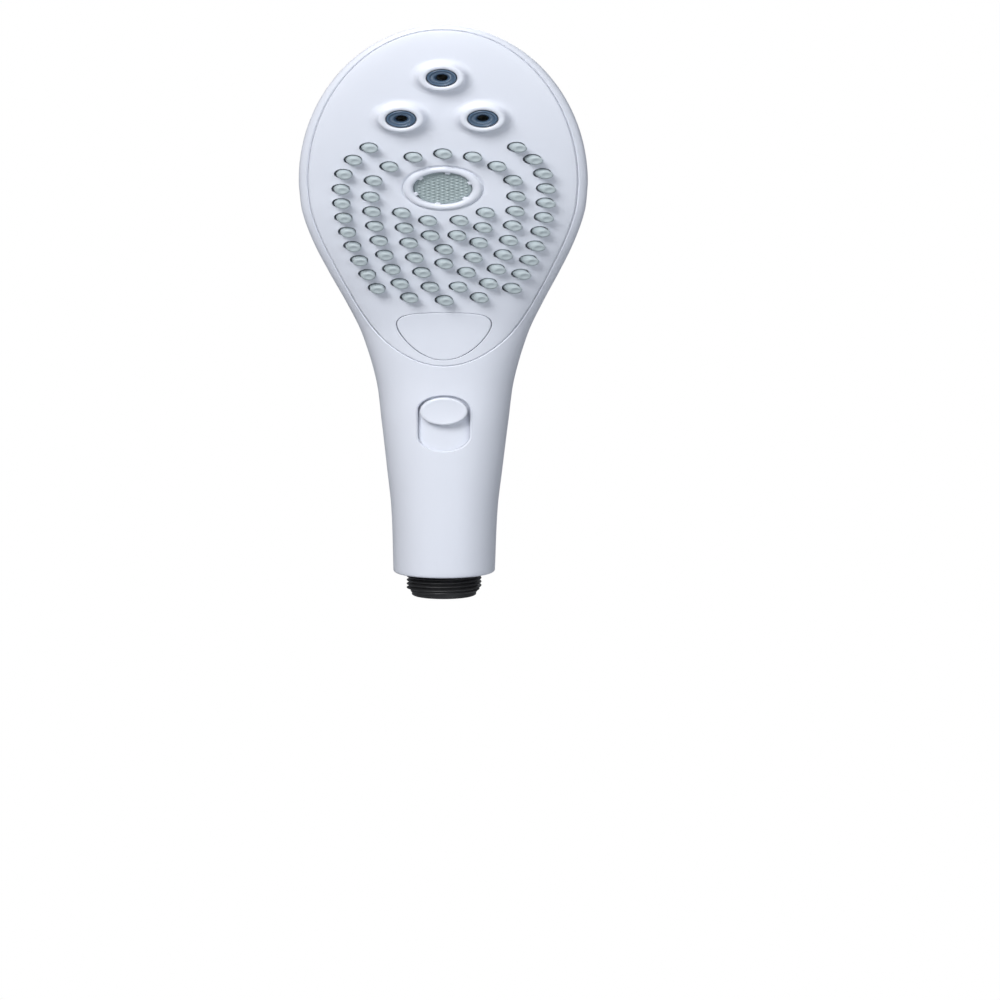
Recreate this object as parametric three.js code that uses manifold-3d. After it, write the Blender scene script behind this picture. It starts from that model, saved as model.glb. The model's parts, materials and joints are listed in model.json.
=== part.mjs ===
// Handheld shower head: an oval spray face on a round handle, with a push button that changes the
// spray, a flow slider and a threaded hose connector. Millimetres, +Z up along the handle, the spray
// face towards -Y, +X to the right. The origin is the middle of the hose connector's end face.

import * as THREE from "three";
import { mergeVertices } from "three/addons/utils/BufferGeometryUtils.js";
import Module from "manifold-3d";

const wasm = await Module();
wasm.setup();

// ---------------------------------------------------------------- driving dimensions

const GAP = 0.3; // clearance between neighbouring pieces
const WALL = 2.2; // moulded wall of the casing
const CASING_FOOT = 11; // height of the casing's lower end
const FOOT_ROUND = 1.2; // rounding of that end
const SHOULDER = 204; // height where the head is widest
const HEAD_RISE = 76; // from there to the top of the head
const FINE = { sides: 28, step: 15, headRings: 8 }; // rings of the casing's surface
const COARSE = { sides: 20, step: 21, headRings: 6 }; // the same for the layers inside

// The casing's cross-section at some heights: half width, how far its widest line stands forward,
// its depth in front of and behind that line, and how square its front is (2 is an ellipse).
const SECTIONS = [
  { z: 11, half: 14.2, line: 0, front: 14.2, back: 14.2, square: 2 },
  { z: 42, half: 15, line: 0, front: 14.6, back: 14.6, square: 2 },
  { z: 61, half: 16.3, line: 0, front: 14.8, back: 14.8, square: 2 },
  { z: 86, half: 18.1, line: 0.3, front: 14.6, back: 14.8, square: 2.05 },
  { z: 106, half: 19.7, line: 1.2, front: 14, back: 14.2, square: 2.2 },
  { z: 130, half: 23.7, line: 6, front: 12.2, back: 14.4, square: 2.6 },
  { z: 146, half: 27.9, line: 12, front: 10.5, back: 16, square: 3.1 },
  { z: 161, half: 32.3, line: 18.8, front: 8.9, back: 18.2, square: 3.6 },
  { z: 176, half: 36.3, line: 25.7, front: 7.5, back: 20.2, square: 4 },
  { z: 191, half: 39.1, line: 31.9, front: 6.6, back: 21.6, square: 4 },
  { z: SHOULDER, half: 39.85, line: 36.4, front: 6.2, back: 22, square: 4 },
];
const HEAD_LEAN = 0.35; // how fast the head goes on leaning forward above the shoulder
const HEAD_STRAIGHTEN = 0.00104;
const RIM_DEPTH = 3; // depth of the rounded rim behind the widest line

const PANEL_FOOT = 113.8; // lowest point of the front panel
const PANEL_SPREAD = 22; // the panel's U foot is the parabola x^2 = PANEL_SPREAD (z - PANEL_FOOT)
const RIM = 2.85; // width of the casing's rim round the panel
const PANEL_TOP = SHOULDER + HEAD_RISE - RIM;
const PANEL_THICK = 2.2;
const MAT = { top: 2.5, bottom: 3.7 }; // depths behind the panel's front
const PLATE = { top: 4, bottom: 6.2 };
const SEAL = { top: 6.5, bottom: 7.2 };
const COVER = { rim: 7.4, floor: 8.5, bottom: 9.9 };
const SCREW_SEAT = 10.9;
const CHAMBER_FOOT = 145;
const CHAMBER_TOP = 264;
const CHAMBER_INSET = 4;

const PIN = { radius: 2.15, tip: 1.9, proud: 3.1, sides: 6 };
const DISC_HEIGHT = 201.5; // height of the centre spray disc
// Upright rows of pins beside the disc: half width at the disc, how far the row has drawn in at its
// foot, height of its first and last pin, number of pins.
const PIN_ROWS = [
  { half: 28, drawIn: 9.3, top: 201.7, foot: 153, count: 8 },
  { half: 19.9, drawIn: 10.2, top: 197.8, foot: 148.3, count: 8 },
  { half: 11.8, drawIn: 7.9, top: 190, foot: 153.6, count: 6 },
  { half: 4.7, drawIn: 1, top: 186.2, foot: 178.9, count: 2 },
];
const ROW_BEND = 1.9; // how suddenly the rows draw in
const ROW_LEVEL = 197.8; // height from where they draw in
// Arcs of pins above the disc: radius, height of the arc's centre, angle between pins, number on each
// side.
const PIN_ARCS = [
  { radius: 28.1, centre: 201.7, step: 14.8, count: 3 },
  { radius: 20.6, centre: 197.8, step: 22.3, count: 3 },
];
const MIDDLE_PINS = [218.3, 172.2, 165.2, 146.9];

const JET = { radius: 4.45, bore: 1.65, proud: 3.2, high: 254.4, low: 235.2, side: 11 };
const BOSS = { foot: 7.9, rim: 6.25, height: 3.6 };
const BEZEL = { outer: 11, inner: 8.4, proud: 0.9, teeth: 6 };

const BUTTON = { height: 128.6, tilt: THREE.MathUtils.degToRad(10.5), gap: 0.4 };
const HOUSING = { radius: 10.4, top: 7.2, floor: 17.2, bottom: 18.6, wall: 1.4 };
const PORTS = { count: 3, radius: 4.5, bore: 1.5 };

const WINDOW = { half: 7.3, foot: 72, top: 99.2 }; // stadium opening of the flow slider
const KNOB = { radius: 6.7, height: 91.6, proud: 1.5 };
const STRIP = { bend: 18, outer: 13.2, thick: 1.5, half: 8.6, foot: 70, top: 112.6 };
const SLIDE = 12; // travel of the slider
const VALVE = { y: 1.5, radius: 7.5, bore: 4.8, foot: 60, top: 108 };

const THREAD = { crest: 10.478, root: 9.316, pitch: 1.814, start: 1.9, end: 11.3 }; // G 1/2
const CONNECTOR = { pilot: 9, flange: 11.5, flangeTop: 24, spigot: 6.5, top: 31, bore: 6.4 };

// ---------------------------------------------------------------- finishes

const finish = (color, roughness, metalness = 0) =>
  new THREE.MeshStandardMaterial({ color, roughness, metalness, flatShading: true });

const FINISH = {
  white: finish(0xe9ecf4, 0.42),
  silicone: finish(0xa9b6b6, 0.6),
  disc: finish(0x93a4a6, 0.55),
  jet: finish(0x4d6078, 0.3),
  black: finish(0x141517, 0.45),
  acetal: finish(0xd8d8d2, 0.5),
  grey: finish(0x6c7075, 0.5),
  seal: finish(0x222426, 0.8),
  steel: finish(0xb8bcc0, 0.3, 1),
};

// ---------------------------------------------------------------- solids

// A closed three.js geometry as a manifold solid.
function solid(geometry) {
  const bare = new THREE.BufferGeometry().setAttribute("position", geometry.getAttribute("position"));
  bare.setIndex(geometry.index);
  const merged = mergeVertices(bare, 1e-4);
  const kept = [];
  const corners = merged.index.array;
  for (let i = 0; i < corners.length; i += 3) {
    const [a, b, c] = corners.slice(i, i + 3);
    if (a !== b && b !== c && c !== a) kept.push(a, b, c);
  }
  return new wasm.Manifold(
    new wasm.Mesh({
      numProp: 3,
      vertProperties: merged.attributes.position.array,
      triVerts: new Uint32Array(kept),
    }),
  );
}

const joined = (first, ...others) => others.reduce((whole, piece) => whole.add(piece), first);
const cut = (first, ...others) => others.reduce((whole, piece) => whole.subtract(piece), first);

// A flat outline in x and z, pushed through from y = back to y = front.
function prism(shape, back, front) {
  const options = { depth: back - front, bevelEnabled: false, curveSegments: 10 };
  const geometry = new THREE.ExtrudeGeometry(shape, options);
  return solid(geometry.rotateX(Math.PI / 2).translate(0, back, 0));
}

// A profile of [radius, height] points turned about the Z axis.
function turned(profile, sides = 16) {
  const points = profile.map(([radius, height]) => new THREE.Vector2(radius, height));
  return solid(new THREE.LatheGeometry(points, sides).rotateX(Math.PI / 2));
}

const rod = (radius, from, to, sides = 16) =>
  turned([[0, from], [radius, from], [radius, to], [0, to]], sides);

const ring = (inner, outer, from, to, sides = 16) =>
  turned([[inner, from], [outer, from], [outer, to], [inner, to], [inner, from]], sides);

// A round wire or pipe along a curve.
function piped(path, radius, steps, sides = 8) {
  const section = new THREE.Shape().absarc(0, 0, radius, 0, 2 * Math.PI);
  const options = { steps, extrudePath: path, curveSegments: sides / 2 };
  return solid(new THREE.ExtrudeGeometry(section, options));
}

// A closed solid through rings of points, one above another, with a fan of triangles to a point at each
// end. The points are a flat list of x, y and z, with the same number in every ring.
function lofted(points, sides, footPole, topPole) {
  const count = points.length / 3;
  const last = count - sides;
  const index = [];
  for (let k = 0; k < sides; k += 1) {
    const next = (k + 1) % sides;
    index.push(count, next, k);
    index.push(count + 1, last + k, last + next);
    for (let low = 0; low < last; low += sides) {
      const high = low + sides;
      index.push(low + k, low + next, high + next, low + k, high + next, high + k);
    }
  }
  const geometry = new THREE.BufferGeometry();
  const everyPoint = points.concat(footPole, topPole);
  geometry.setAttribute("position", new THREE.Float32BufferAttribute(everyPoint, 3));
  geometry.setIndex(index);
  return solid(geometry);
}

// A flat outline in y and z, pushed along x to both sides of the middle.
function sideways(shape, width) {
  const options = { depth: width, bevelEnabled: false, curveSegments: 8 };
  const turn = new THREE.Matrix4().makeBasis(
    new THREE.Vector3(0, 1, 0),
    new THREE.Vector3(0, 0, 1),
    new THREE.Vector3(1, 0, 0),
  );
  const geometry = new THREE.ExtrudeGeometry(shape, options);
  return solid(geometry.applyMatrix4(turn).translate(-width / 2, 0, 0));
}

class Coil extends THREE.Curve {
  constructor(radius, from, to, turns) {
    super();
    Object.assign(this, { radius, from, to, turns });
  }
  getPoint(t, target = new THREE.Vector3()) {
    const angle = 2 * Math.PI * this.turns * t;
    const height = this.from + (this.to - this.from) * t;
    return target.set(this.radius * Math.cos(angle), this.radius * Math.sin(angle), height);
  }
}

// ---------------------------------------------------------------- the casing's surface

// A smooth value of one column of SECTIONS, a cubic between its rows.
function column(name, z) {
  const last = SECTIONS.length - 1;
  let i = 0;
  while (i < last - 1 && z > SECTIONS[i + 1].z) i += 1;
  const [a, b] = [SECTIONS[i], SECTIONS[i + 1]];
  const before = SECTIONS[Math.max(i - 1, 0)];
  const after = SECTIONS[Math.min(i + 2, last)];
  const span = b.z - a.z;
  const t = (z - a.z) / span;
  const slopeA = ((b[name] - before[name]) / (b.z - before.z)) * span;
  const slopeB = ((after[name] - a[name]) / (after.z - a.z)) * span;
  const bend = 2 * (a[name] - b[name]) + slopeA + slopeB;
  const rise = -3 * (a[name] - b[name]) - 2 * slopeA - slopeB;
  return ((bend * t + rise) * t + slopeA) * t + a[name];
}

// The casing's cross-section at height z, drawn in all round by inset.
function section(z, inset = 0) {
  if (z <= SHOULDER) {
    const shrink = inset + footRounding(z, inset);
    return {
      half: column("half", z) - shrink,
      line: column("line", z),
      front: column("front", z) - shrink,
      back: column("back", z) - shrink,
      square: column("square", z),
    };
  }
  const top = SECTIONS[SECTIONS.length - 1];
  const rise = Math.min((z - SHOULDER) / (HEAD_RISE - inset), 1);
  const flat = 1 - rise ** 8;
  const round = 1 - rise ** 2;
  const above = z - SHOULDER;
  return {
    half: (top.half - inset) * Math.sqrt(round),
    line: top.line + HEAD_LEAN * above - HEAD_STRAIGHTEN * above ** 2,
    front: (top.front - inset) * flat ** 0.25,
    back: (top.back - RIM_DEPTH) * round + (RIM_DEPTH - inset) * Math.sqrt(flat),
    square: top.square,
  };
}

function footRounding(z, inset) {
  const above = z - CASING_FOOT;
  if (inset || above >= FOOT_ROUND) return 0;
  return FOOT_ROUND - Math.sqrt(FOOT_ROUND ** 2 - (FOOT_ROUND - above) ** 2);
}

// How far back the casing's front lies at x and z.
function frontAt(x, z) {
  const s = section(z);
  const across = Math.min(Math.abs(x) / s.half, 1);
  return -s.line - s.front * (1 - across ** s.square) ** (1 / s.square);
}

// The outward direction of the front at x and z.
function normalAt(x, z) {
  const step = 0.5;
  const slopeX = (frontAt(x + step, z) - frontAt(x - step, z)) / (2 * step);
  const slopeZ = (frontAt(x, z + step) - frontAt(x, z - step)) / (2 * step);
  return new THREE.Vector3(slopeX, -1, slopeZ).normalize();
}

// Heights of the casing's rings: even up the handle, closing in towards the top of the head.
function ringHeights(foot, inset, { step, headRings }) {
  const heights = [foot];
  if (!inset) heights.push(foot + 0.3 * FOOT_ROUND, foot + FOOT_ROUND);
  const rings = Math.floor((SHOULDER - 18) / step);
  for (let i = rings; i > 0; i -= 1) heights.push(SHOULDER - step * i);
  for (let i = 0; i < headRings; i += 1) {
    const angle = (Math.PI / 2) * (i / headRings);
    heights.push(SHOULDER + (HEAD_RISE - inset) * Math.sin(angle));
  }
  return heights;
}

// The whole outside of the casing as one closed solid, drawn in by inset.
function casing(foot, inset, grid) {
  const { sides } = grid;
  const heights = ringHeights(foot, inset, grid);
  const points = [];
  for (const z of heights) {
    const s = section(z, inset);
    for (let k = 0; k < sides; k += 1) {
      const angle = (2 * Math.PI * k) / sides;
      const [c, d] = [Math.cos(angle), Math.sin(angle)];
      const power = d < 0 ? 2 / s.square : 1;
      const depth = d < 0 ? s.front : s.back;
      const x = s.half * Math.sign(c) * Math.abs(c) ** power;
      points.push(x, -s.line + depth * Math.sign(d) * Math.abs(d) ** power, z);
    }
  }
  const tipHeight = SHOULDER + HEAD_RISE - inset;
  const footPole = [0, -section(foot, inset).line, foot];
  const topPole = [0, -section(tipHeight, inset).line, tipHeight];
  return lofted(points, sides, footPole, topPole);
}

const outside = casing(CASING_FOOT, 0, FINE);
const outsideCoarse = casing(CASING_FOOT, 0, COARSE);

// A layer that follows the front, between two depths behind it, inside an outline.
function layer(shape, top, bottom, surface = outsideCoarse) {
  const skin = surface.translate([0, top, 0]).subtract(outsideCoarse.translate([0, bottom, 0]));
  return skin.intersect(prism(shape, 40, -80));
}

// Everything in front of the casing's widest line.
function frontRegion() {
  const shape = new THREE.Shape();
  shape.moveTo(-100, CASING_FOOT - 5);
  for (let z = CASING_FOOT; z <= SHOULDER + HEAD_RISE; z += 10) shape.lineTo(0.5 - section(z).line, z);
  shape.lineTo(-section(SHOULDER + HEAD_RISE).line, SHOULDER + HEAD_RISE + 5);
  shape.lineTo(-100, SHOULDER + HEAD_RISE + 5);
  return sideways(shape, 120);
}

// ---------------------------------------------------------------- outlines in x and z

// Half width of the front panel at height z, drawn in by inset: an ellipse above the shoulder, the
// casing's side less its rim below it, and a parabola at the foot, blended into one smooth line.
function panelHalf(z, inset = 0, top = PANEL_TOP - inset) {
  if (z > SHOULDER) {
    const rise = (z - SHOULDER) / (top - SHOULDER);
    return (section(SHOULDER).half - RIM - inset) * Math.sqrt(Math.max(1 - rise ** 2, 0));
  }
  const rim = RIM - 1.1 * THREE.MathUtils.smoothstep(SHOULDER - z, 0, 60);
  const side = section(z).half - rim;
  const foot = Math.sqrt(PANEL_SPREAD * Math.max(z - PANEL_FOOT, 0));
  const both = (side ** -12 + foot ** -12) ** (-1 / 12);
  return THREE.MathUtils.lerp(both, side, THREE.MathUtils.smoothstep(z, 160, SHOULDER)) - inset;
}

// The panel's outline drawn in by inset, closed straight across at the height of its foot.
function panelShape(inset, foot, top = PANEL_TOP - inset) {
  const right = [];
  const rows = 9;
  for (let i = 0; i <= rows; i += 1) {
    const rise = (i / rows) ** 2;
    const z = foot + (SHOULDER - foot) * rise;
    right.push([panelHalf(z, inset), z]);
  }
  for (let i = 1; i < rows; i += 1) {
    const z = SHOULDER + (top - SHOULDER) * Math.sin((Math.PI / 2) * (i / rows));
    right.push([panelHalf(z, inset, top), z]);
  }
  right.push([0, top]);
  const outline = right.concat(right.slice(0, -1).reverse().map(([x, z]) => [-x, z]));
  const points = outline.filter(([x], i) => i === 0 || i < outline.length - 1 || x !== 0);
  return new THREE.Shape(points.map(([x, z]) => new THREE.Vector2(x, z)));
}

// The push button's shield outline about its own middle, grown by grow.
function buttonShape(grow) {
  const [half, top, foot, corner] = [13.2 + grow, 12 + grow, -11.9 - grow, 6];
  const shape = new THREE.Shape();
  shape.moveTo(0, top);
  shape.bezierCurveTo(-7, top, -half, top, -half, corner);
  shape.bezierCurveTo(-half, corner - 4.6, -7.2, foot, 0, foot);
  shape.bezierCurveTo(7.2, foot, half, corner - 4.6, half, corner);
  shape.bezierCurveTo(half, top, 7, top, 0, top);
  return shape;
}

// A stadium: two half circles joined by straight sides.
function stadium(half, foot, top) {
  const shape = new THREE.Shape();
  shape.absarc(0, top - half, half, 0, Math.PI);
  shape.absarc(0, foot + half, half, Math.PI, 2 * Math.PI);
  return shape;
}

// ---------------------------------------------------------------- placing

// Manifold solid to three.js geometry.
function geometryOf(piece) {
  const mesh = piece.getMesh();
  const geometry = new THREE.BufferGeometry();
  geometry.setAttribute("position", new THREE.Float32BufferAttribute(mesh.vertProperties, 3));
  geometry.setIndex(Array.from(mesh.triVerts));
  const flat = geometry.toNonIndexed();
  flat.computeVertexNormals();
  return flat;
}

// Turns a solid's Z axis to point along a direction, then moves it to a point.
function aim(piece, direction, point) {
  const turn = new THREE.Quaternion().setFromUnitVectors(new THREE.Vector3(0, 0, 1), direction);
  const matrix = new THREE.Matrix4().compose(point, turn, new THREE.Vector3(1, 1, 1));
  return piece.transform(matrix.elements);
}

const shower = new THREE.Group();

function add(name, piece, material, parent = shower) {
  const mesh = new THREE.Mesh(geometryOf(piece), material);
  mesh.name = name;
  parent.add(mesh);
  return mesh;
}

// The frame of the mode valve: its Z axis runs inwards along the button's press, its Y axis points down
// the handle, and its origin is on the button's face.
const modeValve = new THREE.Group();
modeValve.position.set(0, frontAt(0, BUTTON.height), BUTTON.height);
modeValve.rotation.x = BUTTON.tilt - Math.PI / 2;
modeValve.updateMatrixWorld(true);
shower.add(modeValve);
const inWorld = (piece) => piece.transform(modeValve.matrixWorld.elements);

// ---------------------------------------------------------------- pins and nozzles

// How far a row of pins stands from the middle at height z.
function rowHalf(row, z) {
  const down = Math.max(ROW_LEVEL - z, 0) / (ROW_LEVEL - row.foot);
  return row.half - row.drawIn * down ** ROW_BEND;
}

// Where each silicone pin leaves the front, as [x, z].
function pinPlaces() {
  const places = MIDDLE_PINS.map((z) => [0, z]);
  for (const row of PIN_ROWS) {
    for (let i = 0; i < row.count; i += 1) {
      const z = row.top - ((row.top - row.foot) * i) / (row.count - 1);
      const x = rowHalf(row, z);
      places.push([x, z], [-x, z]);
    }
  }
  for (const arc of PIN_ARCS) {
    for (let i = 1; i <= arc.count; i += 1) {
      const angle = THREE.MathUtils.degToRad(arc.step * i);
      const x = arc.radius * Math.cos(angle);
      const z = arc.centre + arc.radius * Math.sin(angle);
      places.push([x, z], [-x, z]);
    }
  }
  return places;
}

const PINS = pinPlaces();
const JETS = { top: [0, JET.high], left: [-JET.side, JET.low], right: [JET.side, JET.low] };

// A solid made for the front's origin and outward direction, set down at x and z on the front.
const onFront = (piece, x, z) => aim(piece, normalAt(x, z), new THREE.Vector3(x, frontAt(x, z), z));

function pin() {
  const foot = -MAT.bottom + 0.6;
  return turned([[0, foot], [PIN.radius, foot], [PIN.tip, PIN.proud], [0, PIN.proud]], PIN.sides);
}

const everyPin = (piece) => PINS.map(([x, z]) => onFront(piece, x, z));
const everyJet = (piece) => Object.values(JETS).map(([x, z]) => onFront(piece, x, z));

// ---------------------------------------------------------------- casing and front panel

// The outline of the layers behind the panel, drawn in by inset.
const chamberShape = (inset) => {
  return panelShape(CHAMBER_INSET + inset, CHAMBER_FOOT + inset, CHAMBER_TOP - inset);
};

function rearShell() {
  const inside = casing(CASING_FOOT + 1.6, WALL, COARSE);
  const opening = prism(panelShape(-GAP, PANEL_FOOT), 40, -80);
  const face = joined(opening, opening.translate([0, 0, -GAP])).intersect(frontRegion());
  const foot = rod(THREAD.crest + GAP, 0, 20, 24);
  const window = prism(stadium(WINDOW.half, WINDOW.foot, WINDOW.top), -10, -30);
  const pocket = strip(0.35, STRIP.foot - SLIDE, STRIP.top);
  return cut(outside, inside, face, foot, window, pocket);
}

function sprayPanel() {
  const boss = turned([[0, -1], [BOSS.foot, -1], [BOSS.foot, 0.2], [BOSS.rim + 0.5, BOSS.height - 0.9],
    [BOSS.rim - 0.4, BOSS.height], [0, BOSS.height]], 20);
  const jetHole = rod(JET.radius + GAP, -12, 12);
  const pinHole = rod(PIN.radius + GAP, -6, 6, PIN.sides);
  const centreHole = onFront(rod(BEZEL.outer + GAP, -8, 8, 28), 0, DISC_HEIGHT);
  const button = inWorld(buttonPrism(BUTTON.gap));
  const plain = joined(layer(panelShape(0, PANEL_FOOT), 0, PANEL_THICK, outside), ...everyJet(boss));
  return cut(plain, ...everyJet(jetHole), ...everyPin(pinHole), centreHole, button);
}

function nozzleMat() {
  const sheet = layer(chamberShape(0), MAT.top, MAT.bottom);
  const centreHole = onFront(rod(BEZEL.outer + GAP, -8, 8, 28), 0, DISC_HEIGHT);
  const flangeHole = rod(JET.radius + 1.6, -12, 12, 16);
  return joined(cut(sheet, centreHole, ...everyJet(flangeHole)), ...everyPin(pin()));
}

add("rear_shell", rearShell(), FINISH.white);
add("spray_panel", sprayPanel(), FINISH.white);
add("nozzle_mat", nozzleMat(), FINISH.silicone);

function jetInsert() {
  const [front, back] = [JET.proud, -MAT.bottom + 0.5];
  return turned([[JET.bore, back], [JET.radius + 1.2, back], [JET.radius + 1.2, -MAT.top - 0.4],
    [JET.radius, -MAT.top - 0.4], [JET.radius, front - 0.5], [JET.radius - 0.5, front],
    [JET.bore + 0.4, front - 0.3], [JET.bore, front - 1], [JET.bore, back]]);
}

for (const [side, [x, z]] of Object.entries(JETS)) {
  add("jet_insert_" + side, onFront(jetInsert(), x, z), FINISH.jet);
}

function centreBezel() {
  const back = -MAT.bottom + 0.3;
  const body = turned([[BEZEL.inner, back], [BEZEL.outer, back], [BEZEL.outer, 0.2],
    [BEZEL.outer - 0.8, BEZEL.proud], [BEZEL.inner + 0.7, BEZEL.proud], [BEZEL.inner, 0.3],
    [BEZEL.inner, back]], 28);
  const teeth = [];
  for (let i = 0; i < BEZEL.teeth; i += 1) {
    const angle = (2 * Math.PI * (i + 2 / 3)) / BEZEL.teeth;
    const tooth = solid(new THREE.BoxGeometry(1.6, 1.1, 0.7));
    const turn = new THREE.Matrix4().makeRotationZ(angle);
    teeth.push(tooth.translate([BEZEL.inner - 0.2, 0, -0.1]).transform(turn.elements));
  }
  return joined(body, ...teeth);
}

function centreDisc() {
  const holes = [rod(0.5, -6, 2, 6)];
  for (const [radius, count] of [[2.9, 6], [5.8, 8]]) {
    for (let i = 0; i < count; i += 1) {
      const angle = (2 * Math.PI * i) / count;
      holes.push(rod(0.5, -6, 2, 6).translate([radius * Math.cos(angle), radius * Math.sin(angle), 0]));
    }
  }
  return cut(rod(BEZEL.inner - GAP, -3.2, -0.8, 28), ...holes);
}

add("centre_bezel", onFront(centreBezel(), 0, DISC_HEIGHT), FINISH.white);
add("centre_spray_disc", onFront(centreDisc(), 0, DISC_HEIGHT), FINISH.disc);

// ---------------------------------------------------------------- water chamber behind the face

const SCREW_HEIGHTS = [166, 205.4, 240];
const SCREWS = SCREW_HEIGHTS.flatMap((z) => {
  const x = panelHalf(z, CHAMBER_INSET, CHAMBER_TOP) - 4;
  return [[x, z], [-x, z]];
});

// A solid made about the Z axis, laid along +Y from the front's depth at x and z.
const alongY = (piece, x, z) => {
  const place = new THREE.Vector3(x, frontAt(x, z), z);
  return aim(piece, new THREE.Vector3(0, 1, 0), place);
};

// A slot along one row of pins, on the side given by 1 or -1.
function rowSlot(row, side) {
  const steps = 6;
  const [inner, outer] = [[], []];
  for (let i = 0; i <= steps; i += 1) {
    const z = row.top - ((row.top - row.foot) * i) / steps;
    const x = rowHalf(row, z);
    inner.push(new THREE.Vector2(side * (x - 0.8), z));
    outer.push(new THREE.Vector2(side * (x + 0.8), z));
  }
  return prism(new THREE.Shape(inner.concat(outer.reverse())), 40, -80);
}

function waterPlate() {
  const sheet = layer(chamberShape(0), PLATE.top, PLATE.bottom);
  const slots = PIN_ROWS.flatMap((row) => [rowSlot(row, 1), rowSlot(row, -1)]);
  const centre = onFront(rod(2.2, -16, 4, 12), 0, DISC_HEIGHT);
  const screwHoles = SCREWS.map(([x, z]) => alongY(rod(1.1 + GAP, 0, 16, 8), x, z));
  return cut(sheet, ...slots, ...everyJet(rod(JET.bore, -16, 4, 8)), centre, ...screwHoles);
}

function chamberSeal() {
  const band = layer(chamberShape(0), SEAL.top, SEAL.bottom);
  return band.subtract(prism(chamberShape(1.6), 40, -80));
}

function chamberCover() {
  const outer = layer(chamberShape(0), COVER.rim, COVER.bottom);
  const hollow = layer(chamberShape(1.8), COVER.rim - 2, COVER.floor);
  const bosses = SCREWS.map(([x, z]) => alongY(rod(2.6, COVER.bottom - 0.4, SCREW_SEAT, 8), x, z));
  const holes = SCREWS.map(([x, z]) => alongY(rod(1.1 + GAP, 0, 16, 8), x, z));
  const inlets = [-3.9, 0, 3.9].map((x) => alongY(rod(1.3, 4, 16, 8), x, 157));
  return cut(joined(cut(outer, hollow), ...bosses), ...holes, ...inlets);
}

function chamberScrew() {
  const seat = SCREW_SEAT + GAP;
  return turned([[0, 4.4], [1.1, 4.4], [1.1, seat], [2.2, seat], [2, seat + 1.5], [0.8, seat + 1.5],
    [0.8, seat + 0.7], [0, seat + 0.7]], 8);
}

add("water_plate", waterPlate(), FINISH.acetal);
add("chamber_seal", chamberSeal(), FINISH.seal);
add("chamber_cover", chamberCover(), FINISH.acetal);
SCREWS.forEach(([x, z], i) => {
  add(`chamber_screw_${i + 1}`, alongY(chamberScrew(), x, z), FINISH.steel);
});

// ---------------------------------------------------------------- mode button and diverter

// The button's outline pushed through the front, in the mode valve's frame.
function buttonPrism(grow) {
  const options = { depth: 12, bevelEnabled: false, curveSegments: 10 };
  const shape = buttonShape(grow);
  return solid(new THREE.ExtrudeGeometry(shape, options).rotateX(Math.PI).translate(0, 0, 6));
}

function modeButton() {
  const skin = outside.subtract(outside.translate([0, PANEL_THICK, 0]));
  return joined(skin.intersect(inWorld(buttonPrism(0))), inWorld(rod(3.4, 1.2, 4)));
}

function buttonStem() {
  return turned([[0, 4.3], [2.4, 4.3], [2.4, 10.4], [4.2, 10.4], [4.2, 11.4], [0, 11.4]]);
}

function diverterHousing() {
  const { radius, top, floor, bottom, wall } = HOUSING;
  const cup = turned([[2.9, top + 1.4], [5, top + 1.4], [5, top], [radius, top], [radius, bottom],
    [0, bottom], [0, 13.9], [1.2, 13.9], [1.2, floor], [radius - wall, floor],
    [radius - wall, top + 2.8], [2.9, top + 2.8], [2.9, top + 1.4]]);
  const inlet = rod(2.4, 4, 14).rotate([-90, 0, 0]).translate([0, 0, 12.5]);
  return cut(cup, ...portRing(rod(PORTS.bore, 15, 20, 12)), inlet);
}

// Copies of a solid at the three ports, in the mode valve's frame.
function portRing(piece) {
  const copies = [];
  for (let i = 0; i < PORTS.count; i += 1) {
    const angle = 2 * Math.PI * (i / PORTS.count) - Math.PI / 2;
    copies.push(piece.translate([PORTS.radius * Math.cos(angle), PORTS.radius * Math.sin(angle), 0]));
  }
  return copies;
}

function ratchetRing() {
  const lugs = [];
  for (let i = 0; i < 6; i += 1) {
    const lug = solid(new THREE.BoxGeometry(1.6, 2, 0.8)).translate([7.2, 0, 13.1]);
    lugs.push(lug.rotate([0, 0, 60 * i]));
  }
  return joined(ring(4.7, 8.5, 10.4, 12.9), ...lugs);
}

// A wheel with six saw teeth, one port and a pivot hole.
function diverterDisc() {
  const outline = [];
  for (let i = 0; i < 18; i += 1) {
    const radius = [8.5, 7.9, 7.3][i % 3];
    const angle = (Math.PI / 3) * (Math.floor(i / 3) + (i % 3) * 0.48);
    outline.push(new THREE.Vector2(radius * Math.cos(angle), radius * Math.sin(angle)));
  }
  const options = { depth: 2, bevelEnabled: false };
  const wheel = solid(new THREE.ExtrudeGeometry(new THREE.Shape(outline), options));
  const port = rod(PORTS.bore, 10, 20, 12).translate([0, -PORTS.radius, 0]);
  return cut(wheel.translate([0, 0, 14]), rod(1.5, 10, 20, 16), port);
}

add("mode_button", modeButton(), FINISH.white);
add("button_stem", buttonStem(), FINISH.acetal, modeValve);
add("button_seal", ring(2.7, 4.7, HOUSING.top + 0.2, HOUSING.top + 1.1), FINISH.seal, modeValve);
add("button_spring", piped(new Coil(4.4, 3.1, 6.5, 3.5), 0.35, 35, 6), FINISH.steel, modeValve);
add("diverter_housing", diverterHousing(), FINISH.grey, modeValve);
add("ratchet_ring", ratchetRing(), FINISH.acetal, modeValve);
add("diverter_disc", diverterDisc(), FINISH.acetal, modeValve);
portRing(ring(PORTS.bore, 2.5, 16.3, 16.9, 12)).forEach((piece, i) => {
  add(`port_seal_${i + 1}`, piece, FINISH.seal, modeValve);
});

// ---------------------------------------------------------------- water ways

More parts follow.
